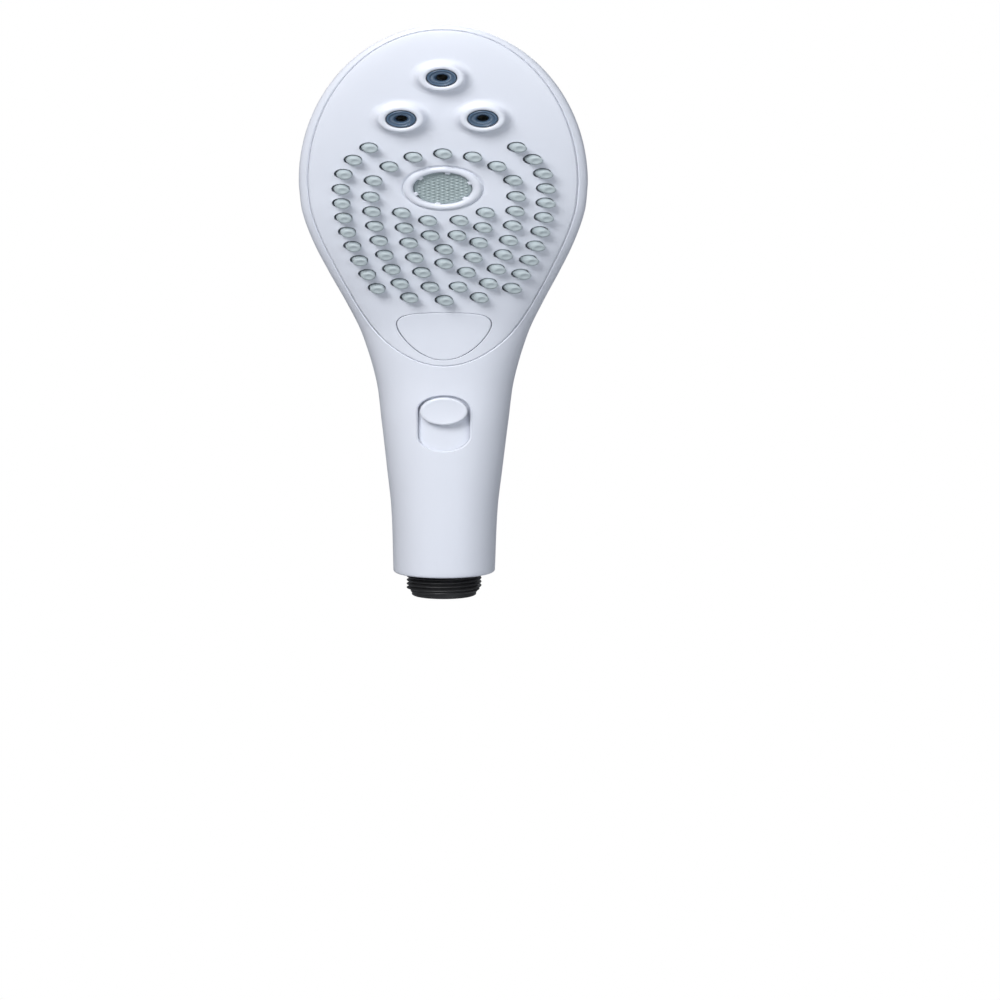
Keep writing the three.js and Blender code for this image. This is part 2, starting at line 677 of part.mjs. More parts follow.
// The three-way duct from the diverter to the water chamber.
function feedChannels() {
  const section = new THREE.Shape();
  section.moveTo(-6.5, -1.5);
  section.lineTo(6.5, -1.5);
  section.lineTo(6.5, 1.5);
  section.lineTo(-6.5, 1.5);
  for (const x of [-3.9, 0, 3.9]) {
    section.holes.push(new THREE.Path().absarc(x, 0, 0.9, 0, 2 * Math.PI, true));
  }
  const route = new THREE.CatmullRomCurve3([
    new THREE.Vector3(0, 2.9, 128.4),
    new THREE.Vector3(0, 1.4, 136.2),
    new THREE.Vector3(0, -0.4, 144),
    new THREE.Vector3(0, -5, 151.5),
    new THREE.Vector3(0, -12.3, 156.4),
  ]);
  const options = { steps: 6, extrudePath: route, curveSegments: 3 };
  const duct = solid(new THREE.ExtrudeGeometry(section, options));
  const ports = portRing(rod(1.3, 17, 21, 8)).map(inWorld);
  return cut(duct, ...ports);
}

function riserPipe() {
  const route = new THREE.CatmullRomCurve3([
    new THREE.Vector3(0, VALVE.y, VALVE.top + GAP),
    new THREE.Vector3(0, 0.4, 113),
    new THREE.Vector3(0, -3.4, 119.1),
  ]);
  return cut(piped(route, 3.5, 8), piped(extended(route), 2.3, 8));
}

// The same route with both ends carried on a little, so that a bore runs right through.
function extended(route) {
  const points = route.points.map((point) => point.clone());
  const last = points.length - 1;
  points[0].addScaledVector(route.getTangent(0), -1);
  points[last].addScaledVector(route.getTangent(1), 1);
  return new THREE.CatmullRomCurve3(points);
}

function waterPipe() {
  const route = new THREE.CatmullRomCurve3([
    new THREE.Vector3(0, 0, 33),
    new THREE.Vector3(0, 0, 40),
    new THREE.Vector3(0, VALVE.y, 51),
    new THREE.Vector3(0, VALVE.y, VALVE.foot - GAP),
  ]);
  const socket = turned([[0, 25], [9.2, 25], [9.2, 33], [6, 36], [0, 36]]);
  const inside = rod(7.8, 20, 31.5);
  return cut(joined(socket, piped(route, 5.5, 8, 12)), inside, piped(extended(route), 4, 8, 12));
}

function valveBody() {
  const sleeve = ring(VALVE.bore, VALVE.radius, VALVE.foot, VALVE.top);
  const slot = solid(new THREE.BoxGeometry(4.6, 10, SLIDE + 5.4));
  const middle = KNOB.height - SLIDE / 2;
  return sleeve.subtract(slot.translate([0, -7, middle])).translate([0, VALVE.y, 0]);
}

function valveSpool() {
  const top = KNOB.height + 12.5;
  const foot = KNOB.height - 14.5;
  const grooved = (z) => [[4.5, z - 0.8], [3.8, z - 0.8], [3.8, z + 0.8], [4.5, z + 0.8]];
  const body = turned([[2.2, foot], [4.5, foot], ...grooved(foot + 2.6), ...grooved(top - 2.6),
    [4.5, top], [2.2, top], [2.2, foot]]).translate([0, VALVE.y, 0]);
  const arm = solid(new THREE.BoxGeometry(3.6, 9.2, 4)).translate([0, -6.7, KNOB.height]);
  return joined(body, arm);
}

const spoolRing = (z) => ring(3.95, 4.65, z - 0.6, z + 0.6).translate([0, VALVE.y, 0]);

add("feed_channels", feedChannels(), FINISH.grey);
add("riser_pipe", riserPipe(), FINISH.grey);
add("water_pipe", waterPipe(), FINISH.grey);
add("valve_body", valveBody(), FINISH.grey);
add("valve_spool", valveSpool(), FINISH.acetal);
add("valve_o_ring_lower", spoolRing(KNOB.height - 11.9), FINISH.seal);
add("valve_o_ring_upper", spoolRing(KNOB.height + 9.9), FINISH.seal);

// ---------------------------------------------------------------- flow slider

// The curved shutter, grown by grow, between two heights.
function strip(grow, foot, top) {
  const radius = STRIP.bend + grow;
  const curved = ring(STRIP.bend - STRIP.thick - grow, radius, foot - grow, top + grow, 72);
  const box = solid(new THREE.BoxGeometry(2 * (STRIP.half + grow), 12, 2 * (top - foot)));
  const placed = curved.translate([0, STRIP.bend - STRIP.outer, 0]);
  return placed.intersect(box.translate([0, -12, (foot + top) / 2]));
}

function sliderKnob() {
  const face = -frontAt(0, KNOB.height) + KNOB.proud;
  const button = turned([[0, 8], [KNOB.radius, 8], [KNOB.radius, face - 0.6],
    [KNOB.radius - 0.5, face], [0, face]], 24);
  const lying = aim(button, new THREE.Vector3(0, -1, 0), new THREE.Vector3(0, 0, KNOB.height));
  const bed = rod(STRIP.bend + GAP, 60, 120, 72).translate([0, STRIP.bend - STRIP.outer, 0]);
  return lying.subtract(bed);
}

// A bowed leaf spring between the valve body and the shutter.
function sliderDetent() {
  const [foot, middle, rise, thick, width] = [63, 71, 8, 0.4, 3];
  const shape = new THREE.Shape();
  shape.moveTo(-6, foot);
  shape.quadraticCurveTo(-14, middle, -6, middle + rise);
  shape.lineTo(-6 + thick, middle + rise);
  shape.quadraticCurveTo(-14 + 2 * thick, middle, -6 + thick, foot);
  return sideways(shape, width).translate([4.9, 0, 0]);
}

add("slider_strip", strip(0, STRIP.foot, STRIP.top), FINISH.white);
add("slider_knob", sliderKnob(), FINISH.white);
add("slider_detent", sliderDetent(), FINISH.steel);

// ---------------------------------------------------------------- hose connector

// A rod with a screw thread, its radius a saw wave that climbs one pitch in each turn.
function threaded(from, to) {
  const [sides, perPitch] = [18, 4];
  const levels = Math.round(((to - from) / THREAD.pitch) * perPitch);
  const points = [];
  for (let i = 0; i <= levels; i += 1) {
    const z = from + ((to - from) * i) / levels;
    for (let k = 0; k < sides; k += 1) {
      const turn = k / sides;
      const phase = (((z / THREAD.pitch - turn) % 1) + 1) % 1;
      const wave = 1 - Math.abs(2 * phase - 1);
      const ends = THREE.MathUtils.smoothstep(z, from, from + THREAD.pitch);
      const radius = THREAD.root + (THREAD.crest - THREAD.root) * wave * ends;
      points.push(radius * Math.cos(2 * Math.PI * turn), radius * Math.sin(2 * Math.PI * turn), z);
    }
  }
  return lofted(points, sides, [0, 0, from], [0, 0, to]);
}

function hoseConnector() {
  const { pilot, flange, flangeTop, spigot, top, bore } = CONNECTOR;
  const groove = [[spigot, 26.2], [spigot - 0.8, 26.2], [spigot - 0.8, 28.2], [spigot, 28.2]];
  const body = turned([[0, 0], [pilot - 0.4, 0], [pilot, 0.5], [pilot, THREAD.end],
    [THREAD.root, THREAD.end], [THREAD.root, 13], [flange, 13], [flange, flangeTop],
    [spigot, flangeTop], ...groove, [spigot, top], [0, top]], 20);
  const inside = turned([[0, -1], [bore, -1], [bore, 22], [4, 23.5], [4, 40], [0, 40]], 20);
  return cut(joined(body, threaded(THREAD.start, THREAD.end + 0.5)), inside);
}

function strainer() {
  const holes = [];
  for (const [radius, count] of [[1.6, 3], [4.2, 8]]) {
    for (let i = 0; i < count; i += 1) {
      const angle = (2 * Math.PI * i) / count;
      holes.push(rod(0.7, 0, 4, 6).translate([radius * Math.cos(angle), radius * Math.sin(angle), 0]));
    }
  }
  return cut(rod(6.1, 1.4, 2.2), ...holes);
}

function checkValveBody() {
  const tube = turned([[2.4, 7], [6.1, 7], [6.1, 21.5], [0, 21.5], [0, 19.4], [4.5, 19.4],
    [4.5, 8.6], [2.4, 8.6], [2.4, 7]]);
  const vent = rod(1.2, 18, 23, 12).translate([3, 0, 0]);
  const vents = [0, 120, 240].map((angle) => vent.rotate([0, 0, angle]));
  return cut(tube, rod(1.5, 18, 23, 12), ...vents);
}

const poppet = () => turned([[0, 9], [3.6, 9], [3.9, 10.2], [1.1, 10.8], [1.1, 18.6], [0, 18.6]]);

add("hose_connector", hoseConnector(), FINISH.black);
add("connector_o_ring", ring(6, 7.5, 26.5, 27.9), FINISH.seal);
add("strainer_screen", strainer(), FINISH.steel);
add("flow_limiter", ring(1.1, 6.1, 3, 6.2), FINISH.silicone);
add("check_valve_body", checkValveBody(), FINISH.acetal);
add("check_valve_poppet", poppet(), FINISH.acetal);
add("check_valve_spring", piped(new Coil(2.3, 11.6, 18.5, 4), 0.3, 36, 6), FINISH.steel);

export default shower;
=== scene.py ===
# %% [markdown]
# # A handheld shower head
# The head is one long, smooth casing: a round handle that widens and leans forward into an oval spray
# face. Almost everything on it is a skin over that one shape, so the lesson works the casing out once, as
# a formula, and every other piece asks the formula where the surface is.

import json

import bmesh
import bpy
import numpy as np
from mathutils import Matrix, Vector


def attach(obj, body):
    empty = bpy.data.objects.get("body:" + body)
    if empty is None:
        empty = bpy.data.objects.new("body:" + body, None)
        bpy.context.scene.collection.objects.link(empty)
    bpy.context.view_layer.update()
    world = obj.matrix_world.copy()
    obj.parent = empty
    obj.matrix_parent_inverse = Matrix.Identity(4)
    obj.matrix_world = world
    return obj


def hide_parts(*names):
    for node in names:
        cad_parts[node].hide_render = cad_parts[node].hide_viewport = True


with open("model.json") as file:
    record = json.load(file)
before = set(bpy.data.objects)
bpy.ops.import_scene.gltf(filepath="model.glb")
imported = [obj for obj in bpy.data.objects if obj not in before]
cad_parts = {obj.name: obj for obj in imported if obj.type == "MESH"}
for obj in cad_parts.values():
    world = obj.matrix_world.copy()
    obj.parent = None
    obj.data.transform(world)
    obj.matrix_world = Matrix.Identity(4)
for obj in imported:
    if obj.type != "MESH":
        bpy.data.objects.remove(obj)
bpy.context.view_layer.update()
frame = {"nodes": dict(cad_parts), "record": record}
MM = 0.001

# %% [markdown]
# ## The camera
# The view is squeezed upright, so that round buttons look oval while the object keeps its true shape. A
# cylindrical panorama camera can do that: it sets how much of the scene goes across the picture apart from
# how much goes up it. It is used here like a view camera, whose film plane tilts on its own while the lens
# keeps looking slightly down. A stand stretched along one slant gives that tilt to the camera it carries.

# %% Camera
DISTANCE, LOOK_DOWN, FILM_TILT = 0.66, np.radians(11.5), np.radians(7.81)
AIM = np.array([0.01565, 0.0, 0.0357])
HALF_ACROSS, HALF_UP, LIFT = 0.2134, 0.384, 0.016


def place_camera():
    """A camera DISTANCE from AIM. The picture's up direction leans FILM_TILT from the upright and the
    middle ray goes down by LOOK_DOWN; that slanted pair of axes is a turn, a stretch and a turn, found as
    a singular value decomposition. The stand takes the first two and the camera the last."""
    data = bpy.data.cameras.new("camera")
    data.type, data.panorama_type = "PANO", "CENTRAL_CYLINDRICAL"
    data.central_cylindrical_range_u_min = -HALF_ACROSS
    data.central_cylindrical_range_u_max = HALF_ACROSS
    data.central_cylindrical_range_v_min = LIFT - HALF_UP
    data.central_cylindrical_range_v_max = LIFT + HALF_UP
    data.clip_start = 0.01
    stand = bpy.data.objects.new("camera_stand", None)
    camera = bpy.data.objects.new("camera", data)
    for obj in (stand, camera):
        bpy.context.scene.collection.objects.link(obj)
    back = np.array([-np.cos(LOOK_DOWN), np.sin(LOOK_DOWN)])
    axes = np.column_stack([[-np.sin(FILM_TILT), np.cos(FILM_TILT)], back])
    first, stretch, last = np.linalg.svd(axes)
    if np.linalg.det(first) < 0:
        first[:, 1], last[1] = -first[:, 1], -last[1]
    stand.location = (AIM[0], DISTANCE * back[0], AIM[2] + DISTANCE * back[1])
    stand.rotation_euler = (np.arctan2(first[1, 0], first[0, 0]), 0, 0)
    stand.scale = (1, *stretch)
    camera.parent = stand
    camera.rotation_euler = (np.arctan2(last[1, 0], last[0, 0]), 0, 0)
    bpy.context.scene.camera = camera
    return camera


camera = place_camera()
print("camera", DISTANCE, "m away")

# %% [markdown]
# ## The casing as a formula
# A moulder would describe this shape with cross-sections: how wide it is at each height, where its widest
# line runs, how deep it is in front of and behind that line, and how square the front is. A table of such
# sections with a smooth cubic between them is easy to read and to change. Above the shoulder the
# sections shrink like an ellipse, so the head closes in a round top.

# %% Cross-sections of the casing, in millimetres
FOOT, SHOULDER, RISE, RIM_DEPTH, FOOT_ROUND = 11.0, 204.0, 76.0, 3.0, 1.2
HEAD_LEAN, HEAD_STRAIGHTEN = 0.35, 0.00104
HEIGHTS = np.array([11, 42, 61, 86, 106, 130, 146, 161, 176, 191, SHOULDER])
SECTIONS = {
    "half": [14.2, 15, 16.3, 18.1, 19.7, 23.7, 27.9, 32.3, 36.3, 39.1, 39.85],
    "line": [0, 0, 0, 0.3, 1.2, 6, 12, 18.8, 25.7, 31.9, 36.4],
    "front": [14.2, 14.6, 14.8, 14.6, 14, 12.2, 10.5, 8.9, 7.5, 6.6, 6.2],
    "back": [14.2, 14.6, 14.8, 14.8, 14.2, 14.4, 16, 18.2, 20.2, 21.6, 22],
    "square": [2, 2, 2, 2.05, 2.2, 2.6, 3.1, 3.6, 4, 4, 4],
}


def column(name, z):
    """Cubic between the table's rows, with each row's slope taken from its two neighbours."""
    values = np.array(SECTIONS[name], float)
    i = np.clip(np.searchsorted(HEIGHTS, z, side="left") - 1, 0, len(HEIGHTS) - 2)
    last = len(HEIGHTS) - 1
    before, after = np.maximum(i - 1, 0), np.minimum(i + 2, last)
    a, b = values[i], values[i + 1]
    span = HEIGHTS[i + 1] - HEIGHTS[i]
    t = (z - HEIGHTS[i]) / span
    slope_a = (b - values[before]) / (HEIGHTS[i + 1] - HEIGHTS[before]) * span
    slope_b = (values[after] - a) / (HEIGHTS[after] - HEIGHTS[i]) * span
    bend = 2 * (a - b) + slope_a + slope_b
    rise = 3 * (b - a) - 2 * slope_a - slope_b
    return ((bend * t + rise) * t + slope_a) * t + a


def section(z, inset=0.0):
    """The five measures of the section at height z, drawn in all round by inset.
    Above the shoulder the width and the back follow sqrt(1 - rise^2) and the front (1 - rise^8)^(1/4)."""
    z = np.asarray(z, float)
    low = np.clip(z, FOOT, SHOULDER)
    s = {name: column(name, low) for name in SECTIONS}
    rise = np.clip((z - SHOULDER) / (RISE - inset), 0, 1)
    flat, round_ = 1 - rise**8, 1 - rise**2
    up = z > SHOULDER
    above = np.maximum(z - SHOULDER, 0)
    s["half"] = np.where(up, (s["half"] - inset) * np.sqrt(round_), s["half"] - inset)
    s["line"] = np.where(up, s["line"] + HEAD_LEAN * above - HEAD_STRAIGHTEN * above**2, s["line"])
    s["front"] = np.where(up, (s["front"] - inset) * flat**0.25, s["front"] - inset)
    head_back = (s["back"] - RIM_DEPTH) * round_ + (RIM_DEPTH - inset) * np.sqrt(flat)
    s["back"] = np.where(up, head_back, s["back"] - inset)
    return s


print("width at the shoulder, mm:", round(2 * float(section(SHOULDER)["half"]), 2))

# %% [markdown]
# ## Finding the surface
# Everything on the front has to know how far back the casing is there, and which way it faces. The first
# comes straight from the equation of the section. The second could be worked out by hand from its
# derivatives, but a difference over half a millimetre to each side is shorter and close enough.

# %% The front and its direction
def front(x, z):
    """How far back the casing's front is: -line - front (1 - |x / half|^n)^(1/n)."""
    s = section(z)
    across = np.clip(np.abs(x) / np.maximum(s["half"], 1e-6), 0, 1)
    n = s["square"]
    return -s["line"] - s["front"] * (1 - across**n) ** (1 / n)


def outward(x, z, step=0.5):
    """The front's outward direction, from its slopes along x and z."""
    slope_x = (front(x + step, z) - front(x - step, z)) / (2 * step)
    slope_z = (front(x, z + step) - front(x, z - step)) / (2 * step)
    normal = np.stack([slope_x, -np.ones_like(slope_x), slope_z], -1)
    return normal / np.linalg.norm(normal, axis=-1, keepdims=True)


print("front of the head, mm:", np.round(front(np.zeros(3), np.array([130.0, 204.0, 270.0])), 2))

# %% [markdown]
# ## From rings of points to a solid
# A loft joins rings of points, one above another, and closes both ends. A wheel does the same but joins
# the last ring back to the first, for anything with a hole through it. The indices of all the faces come
# from one array sum, so no loop runs over the points.

# %% Lofts and wheels
def mesh_object(name, points, faces):
    """A mesh object from points in millimetres and faces given by rows of point numbers."""
    mesh = bpy.data.meshes.new(name)
    mesh.from_pydata((np.asarray(points) * MM).tolist(), [], [list(f) for f in faces])
    mesh.validate()
    obj = bpy.data.objects.new(name, mesh)
    bpy.context.scene.collection.objects.link(obj)
    face_out(obj)
    return obj


def face_out(obj):
    """Turns every face of a closed mesh outwards."""
    work = bmesh.new()
    work.from_mesh(obj.data)
    bmesh.ops.recalc_face_normals(work, faces=work.faces)
    work.to_mesh(obj.data)
    work.free()


def quads(rows, sides, wrap):
    """Point numbers of the four corners of every cell in a grid of rows by sides, closed round the
    sides, and round the rows too if wrap."""
    i = np.arange(rows if wrap else rows - 1)[:, None]
    k = np.arange(sides)[None, :]
    below, above = i * sides, (i + 1) % rows * sides
    right = (k + 1) % sides
    return np.stack([below + k, below + right, above + right, above + k], -1).reshape(-1, 4)


def fans(rows, sides):
    """Triangles from the first and last ring to two poles, numbered after all the rings' points."""
    k = np.arange(sides)
    right = (k + 1) % sides
    last = (rows - 1) * sides
    foot = np.stack([np.full(sides, rows * sides), right, k], -1)
    top = np.stack([np.full(sides, rows * sides + 1), last + k, last + right], -1)
    return np.concatenate([foot, top])


def loft(name, rings):
    """A solid through rings (rows, sides, 3), with a fan of triangles closing each end."""
    rows, sides, _ = rings.shape
    poles = np.stack([rings[0].mean(0), rings[-1].mean(0)])
    points = np.concatenate([rings.reshape(-1, 3), poles])
    return mesh_object(name, points, quads(rows, sides, False).tolist() + fans(rows, sides).tolist())


def wheel(name, rings):
    """A solid through rings that run round a hole: the last ring joins the first."""
    rows, sides, _ = rings.shape
    return mesh_object(name, rings.reshape(-1, 3), quads(rows, sides, True))


print("quads in a loft of 3 rings of 8:", len(quads(3, 8, False)))

# %% [markdown]
# ## Cutting and joining
# The solids above are closed, which lets Blender's boolean cut them cleanly. Each cut is worked out at once
# and its cutter thrown away, so no piece keeps a live modifier. Smooth shading with sharp edges at
# the steep corners then hides the facets but keeps the chamfers crisp.

# %% Booleans and shading
def boolean(obj, tool, operation="DIFFERENCE"):
    """Cuts tool from obj, or joins it with "UNION", and removes tool."""
    modifier = obj.modifiers.new("boolean", "BOOLEAN")
    modifier.operation, modifier.object, modifier.solver = operation, tool, "MANIFOLD"
    graph = bpy.context.evaluated_depsgraph_get()
    result = bpy.data.meshes.new_from_object(obj.evaluated_get(graph))
    obj.modifiers.remove(modifier)
    old, obj.data = obj.data, result
    result.name = obj.name
    bpy.data.meshes.remove(old)
    bpy.data.objects.remove(tool)
    return obj


def smooth(obj, degrees=32):
    """Smooth shading, with a sharp edge wherever two faces meet at more than degrees."""
    obj.data.shade_smooth()
    obj.data.set_sharp_from_angle(angle=np.radians(degrees))
    return obj


print("boolean solver: MANIFOLD")

# %% [markdown]
# ## The casing
# The real casing is two mouldings: a rear shell that wraps round the handle, and a spray panel let into
# its front. Both skins lie on the same formula, so they meet flush with only a fine seam between
# them. The outside is a stack of rings, closer together at the rounded foot and at the top.

# %% The outside, as a closed solid
def ring_heights(foot, inset, step, head_rings):
    """Even heights up the handle, closing in towards the top like the rings of a sphere."""
    heights = [np.array([foot])] if inset else [foot + FOOT_ROUND * np.array([0, 0.12, 0.3, 0.6, 1])]
    start = foot + (2 if inset else FOOT_ROUND)
    heights.append(np.linspace(start, SHOULDER, int((SHOULDER - start) / step) + 1)[1:])
    angle = np.linspace(0, np.pi / 2, head_rings + 1)[1:-1]
    heights.append(SHOULDER + (RISE - inset) * np.sin(angle))
    return np.concatenate(heights)


def casing(name, foot, inset, step, head_rings, sides):
    """Section rings: x = half sgn(cos) |cos|^(2/n), y = -line + depth sgn(sin) |sin|^(2/n), with the
    front's own depth and squareness n where the sine is negative."""
    z = ring_heights(foot, inset, step, head_rings)
    s = section(z, inset)
    above = np.clip(z - foot, 0, FOOT_ROUND)
    shrink = 0 if inset else FOOT_ROUND - np.sqrt(FOOT_ROUND**2 - (FOOT_ROUND - above) ** 2)
    angle = 2 * np.pi * np.arange(sides) / sides
    c, d = np.cos(angle)[None, :], np.sin(angle)[None, :]
    n = np.where(d < 0, s["square"][:, None], 2)
    depth = np.where(d < 0, s["front"][:, None], s["back"][:, None]) - np.reshape(shrink, (-1, 1))
    x = (s["half"][:, None] - np.reshape(shrink, (-1, 1))) * np.sign(c) * np.abs(c) ** (2 / n)
    y = -s["line"][:, None] + depth * np.sign(d) * np.abs(d) ** (2 / n)
    return loft(name, np.stack([x, y, np.broadcast_to(z[:, None], x.shape)], -1))


print("rings of the casing:", len(ring_heights(FOOT, 0, 1.6, 44)))

# %% [markdown]
# ## Outlines on the front
# The panel, the slider's window and the button are flat outlines laid on the curved front. The panel is half
# an ellipse above the shoulder and runs out into a parabola at its foot. It could be traced point by
# point, but a formula stays smooth however finely it is divided.

# %% The panel's outline
PANEL_FOOT, PANEL_SPREAD, RIM, RIM_THINS = 113.8, 22.0, 2.85, 1.1
PANEL_TOP = SHOULDER + RISE - RIM


def smoothstep(value, low, high):
    """0 below low, 1 above high, and 3t^2 - 2t^3 between."""
    t = np.clip((value - low) / (high - low), 0, 1)
    return t * t * (3 - 2 * t)


def panel_half(z):
    """Half width of the panel: an ellipse above the shoulder; below it the casing's side less a rim that
    thins by RIM_THINS, closed at the foot by the parabola x^2 = spread (z - foot)."""
    wide = section(SHOULDER)["half"] - RIM
    rise = np.clip((z - SHOULDER) / (PANEL_TOP - SHOULDER), 0, 1)
    top = wide * np.sqrt(1 - rise**2)
    side = section(z)["half"] - RIM + RIM_THINS * smoothstep(SHOULDER - z, 0, 60)
    foot = np.sqrt(PANEL_SPREAD * np.maximum(z - PANEL_FOOT, 1e-9))
    low = (side**-12.0 + foot**-12.0) ** (-1 / 12)
    low = low + (side - low) * smoothstep(z, 160, SHOULDER)
    return np.where(z > SHOULDER, top, low)


def panel_outline(count=220):
    """Points round the panel, as x and z, closer together at its two ends."""
    t = np.linspace(0, 1, count)
    z = PANEL_FOOT + (PANEL_TOP - PANEL_FOOT) * (0.5 - 0.5 * np.cos(np.pi * t))
    half = panel_half(z)
    half[0] = half[-1] = 0
    x = np.concatenate([half, -half[-2:0:-1]])
    return np.stack([x, np.concatenate([z, z[-2:0:-1]])], -1)


print("panel outline:", len(panel_outline()), "points")

# %% [markdown]
# ## Growing an outline and laying it down
# An outline can be grown by a fixed distance, which gives both sides of a gap from one drawing. Laid on the
# front at several depths, each a little wider or narrower, it becomes a plug that cuts a clean hole.

# %% Outlines and plugs
def grown(outline, by):
    """A closed outline moved outwards by a distance, along its own normals."""
    along = np.roll(outline, -1, 0) - np.roll(outline, 1, 0)
    normal = np.stack([along[:, 1], -along[:, 0]], -1)
    normal /= np.linalg.norm(normal, axis=1, keepdims=True)
    following = np.roll(outline, -1, 0)
    area = np.sum(outline[:, 0] * following[:, 1] - following[:, 0] * outline[:, 1])
    return outline + by * normal * np.sign(area)


def stadium(half, foot, top, count=32):
    """Two half circles joined by straight sides."""
    angle = np.linspace(0, np.pi, count)
    upper = np.stack([half * np.cos(angle), top - half + half * np.sin(angle)], -1)
    lower = np.stack([-half * np.cos(angle), foot + half - half * np.sin(angle)], -1)
    return np.concatenate([upper, lower])


def on_front(outline, depth):
    """An outline laid on the casing's front, depth millimetres behind it."""
    x, z = outline[:, 0], outline[:, 1]
    return np.stack([x, front(x, z) + depth, z], -1)


def plunge(name, outline, gap, edge):
    """A plug through the front: the outline grown by gap, wider by edge (or narrower, where edge is
    negative) at the surface, so that the cut leaves a small chamfer."""
    levels = [(-12, gap + edge), (0, gap + edge), (abs(edge), gap), (8, gap)]
    return loft(name, np.stack([on_front(grown(outline, g), d) for d, g in levels]))


print("panel outline grown by 1 mm:", np.round(np.ptp(grown(panel_outline(), 1), axis=0), 1), "mm")

# %% [markdown]
# ## Cutting the shell and the panel
# Each cutter is a plug in the outline of the hole, a little wider where it crosses the surface. That
# leaves a fine chamfer, and a chamfer is what catches the light along a real seam. The shell starts as the
# whole outside, and the inside, the panel's opening, the slider's window, the shutter's pocket and
# the foot's bore are cut out of it.

# %% Rear shell
GAP, EDGE, WALL = 0.1, 0.4, 2.2
WINDOW = {"half": 7.3, "foot": 72.0, "top": 99.2}
STRIP = {"bend": 18.0, "outer": 13.2, "thick": 1.5, "half": 8.6, "foot": 70.0, "top": 112.6}
SLIDE, POCKET_ROOM, FOOT_BORE = 12.0, 0.35, 10.78


def opening(name):
    """The panel's plug, stopped just behind the casing's widest line."""
    outline = panel_outline()
    rings = [on_front(grown(outline, g), d) for d, g in [(-12, GAP + EDGE), (0, GAP + EDGE), (EDGE, GAP)]]
    last = rings[-1].copy()
    last[:, 1] = np.maximum(0.5 - section(last[:, 2])["line"], last[:, 1] + 0.1)
    return loft(name, np.stack(rings + [last]))


def bent_plate(name, grow, foot, top):
    """A plate bent round an upright cylinder: its outer face runs one way, its inner face back."""
    count = 49
    reach = np.arcsin((STRIP["half"] + grow) / STRIP["bend"])
    angle = np.linspace(-reach, reach, count)
    outer, inner = STRIP["bend"] + grow, STRIP["bend"] - STRIP["thick"] - grow
    radius = np.concatenate([np.full(count, outer), np.full(count, inner)])
    around = np.concatenate([angle, angle[::-1]])
    x, y = radius * np.sin(around), STRIP["bend"] - STRIP["outer"] - radius * np.cos(around)
    levels = np.linspace(foot - grow, top + grow, 6)
    return loft(name, np.stack([np.stack([x, y, np.full_like(x, z)], -1) for z in levels]))


def foot_bore():
    """The round hole for the connector, 3 % wider at its mouth."""
    angle = np.linspace(0, 2 * np.pi, 64, endpoint=False)
    bore = FOOT_BORE * np.stack([np.cos(angle), np.sin(angle)], -1)
    levels = [(0, 1.03), (11.1, 1.03), (11.5, 1), (20, 1)]
    return loft("foot_bore", np.stack([np.column_stack([bore * k, np.full(64, z)]) for z, k in levels]))


shell = casing("rear_shell_skin", FOOT, 0, 1.6, 44, 200)
boolean(shell, casing("inside", FOOT + 1.6, WALL, 6, 14, 72))
boolean(shell, opening("opening"))
boolean(shell, plunge("window", stadium(WINDOW["half"], WINDOW["foot"], WINDOW["top"]), 0, EDGE))
boolean(shell, bent_plate("pocket", POCKET_ROOM, STRIP["foot"] - SLIDE, STRIP["top"]))
boolean(shell, foot_bore())
smooth(shell)
print("rear shell:", len(shell.data.polygons), "faces")

# %% [markdown]
# ## What stands on the face
# Pins, bosses and nozzles all stand square to the surface under them. A small helper gives each one
# its own upright: the outward normal and two directions across it. A profile of radii and heights
# turned about that upright makes every round piece on the face.

# %% Round things standing on the front
def stands(places):
    """For each [x, z] on the front: its point, its normal and two directions across it."""
    x, z = np.asarray(places, float).T
    normal = outward(x, z)
    across = np.cross(normal, np.array([0.0, 0.0, 1.0]))
    across /= np.linalg.norm(across, axis=1, keepdims=True)
    return np.stack([x, front(x, z), z], -1), normal, across, np.cross(across, normal)


def turned_on(place, profile, sides=64, lift=None):
    """Rings of a profile [radius, height] about the normal at one place on the front; lift(radius, angle)
    adds height."""
    point, normal, across, up = (v[0] for v in stands([place]))
    angle = 2 * np.pi * np.arange(sides) / sides
    r, h = np.asarray(profile, float).T
    r, h = np.broadcast_to(r[:, None], (len(r), sides)), np.broadcast_to(h[:, None], (len(h), sides))
    if lift is not None:
        h = h + lift(r, angle[None, :])
    x, y = r * np.cos(angle), r * np.sin(angle)
    return point + x[..., None] * across + y[..., None] * up + h[..., None] * normal


def studs(name, places, profile, sides, lean=(0, 0)):
    """Many copies of one turned solid, each on its own place, in one mesh. Lean is how far they bend, for
    each millimetre above a level 1 mm below the surface, along the two directions across."""
    point, normal, across, up = stands(places)
    r, h = np.asarray(profile, float).T
    angle = 2 * np.pi * np.arange(sides) / sides
    ring = r[:, None, None] * (np.cos(angle)[None, :, None] * across[:, None, None, :]
                               + np.sin(angle)[None, :, None] * up[:, None, None, :])
    bent = np.maximum(h + 1, 0)[None, :, None] * (lean[0] * across + lean[1] * up)[:, None, :]
    spine = point[:, None, :] + h[None, :, None] * normal[:, None, :] + bent
    rings = spine[:, :, None, :] + ring
    ends = spine[:, [0, -1]]
    rows, each = len(r), len(r) * sides + 2
    points = np.concatenate([rings.reshape(len(point), -1, 3), ends], 1)
    start = (np.arange(len(point)) * each)[:, None, None]
    four = (quads(rows, sides, False)[None] + start).reshape(-1, 4).tolist()
    three = (fans(rows, sides)[None] + start).reshape(-1, 3).tolist()
    return mesh_object(name, points.reshape(-1, 3), four + three)


print("the front's direction at mid height:", np.round(stands([(0, 150)])[1][0], 2))

# %% [markdown]
# ## Where the pins are
# The pins are drawn for the right half and mirrored. Four upright rows draw in towards the foot of the
# panel, two arcs run round the upper half of the middle disc, and four single pins stand down the middle.

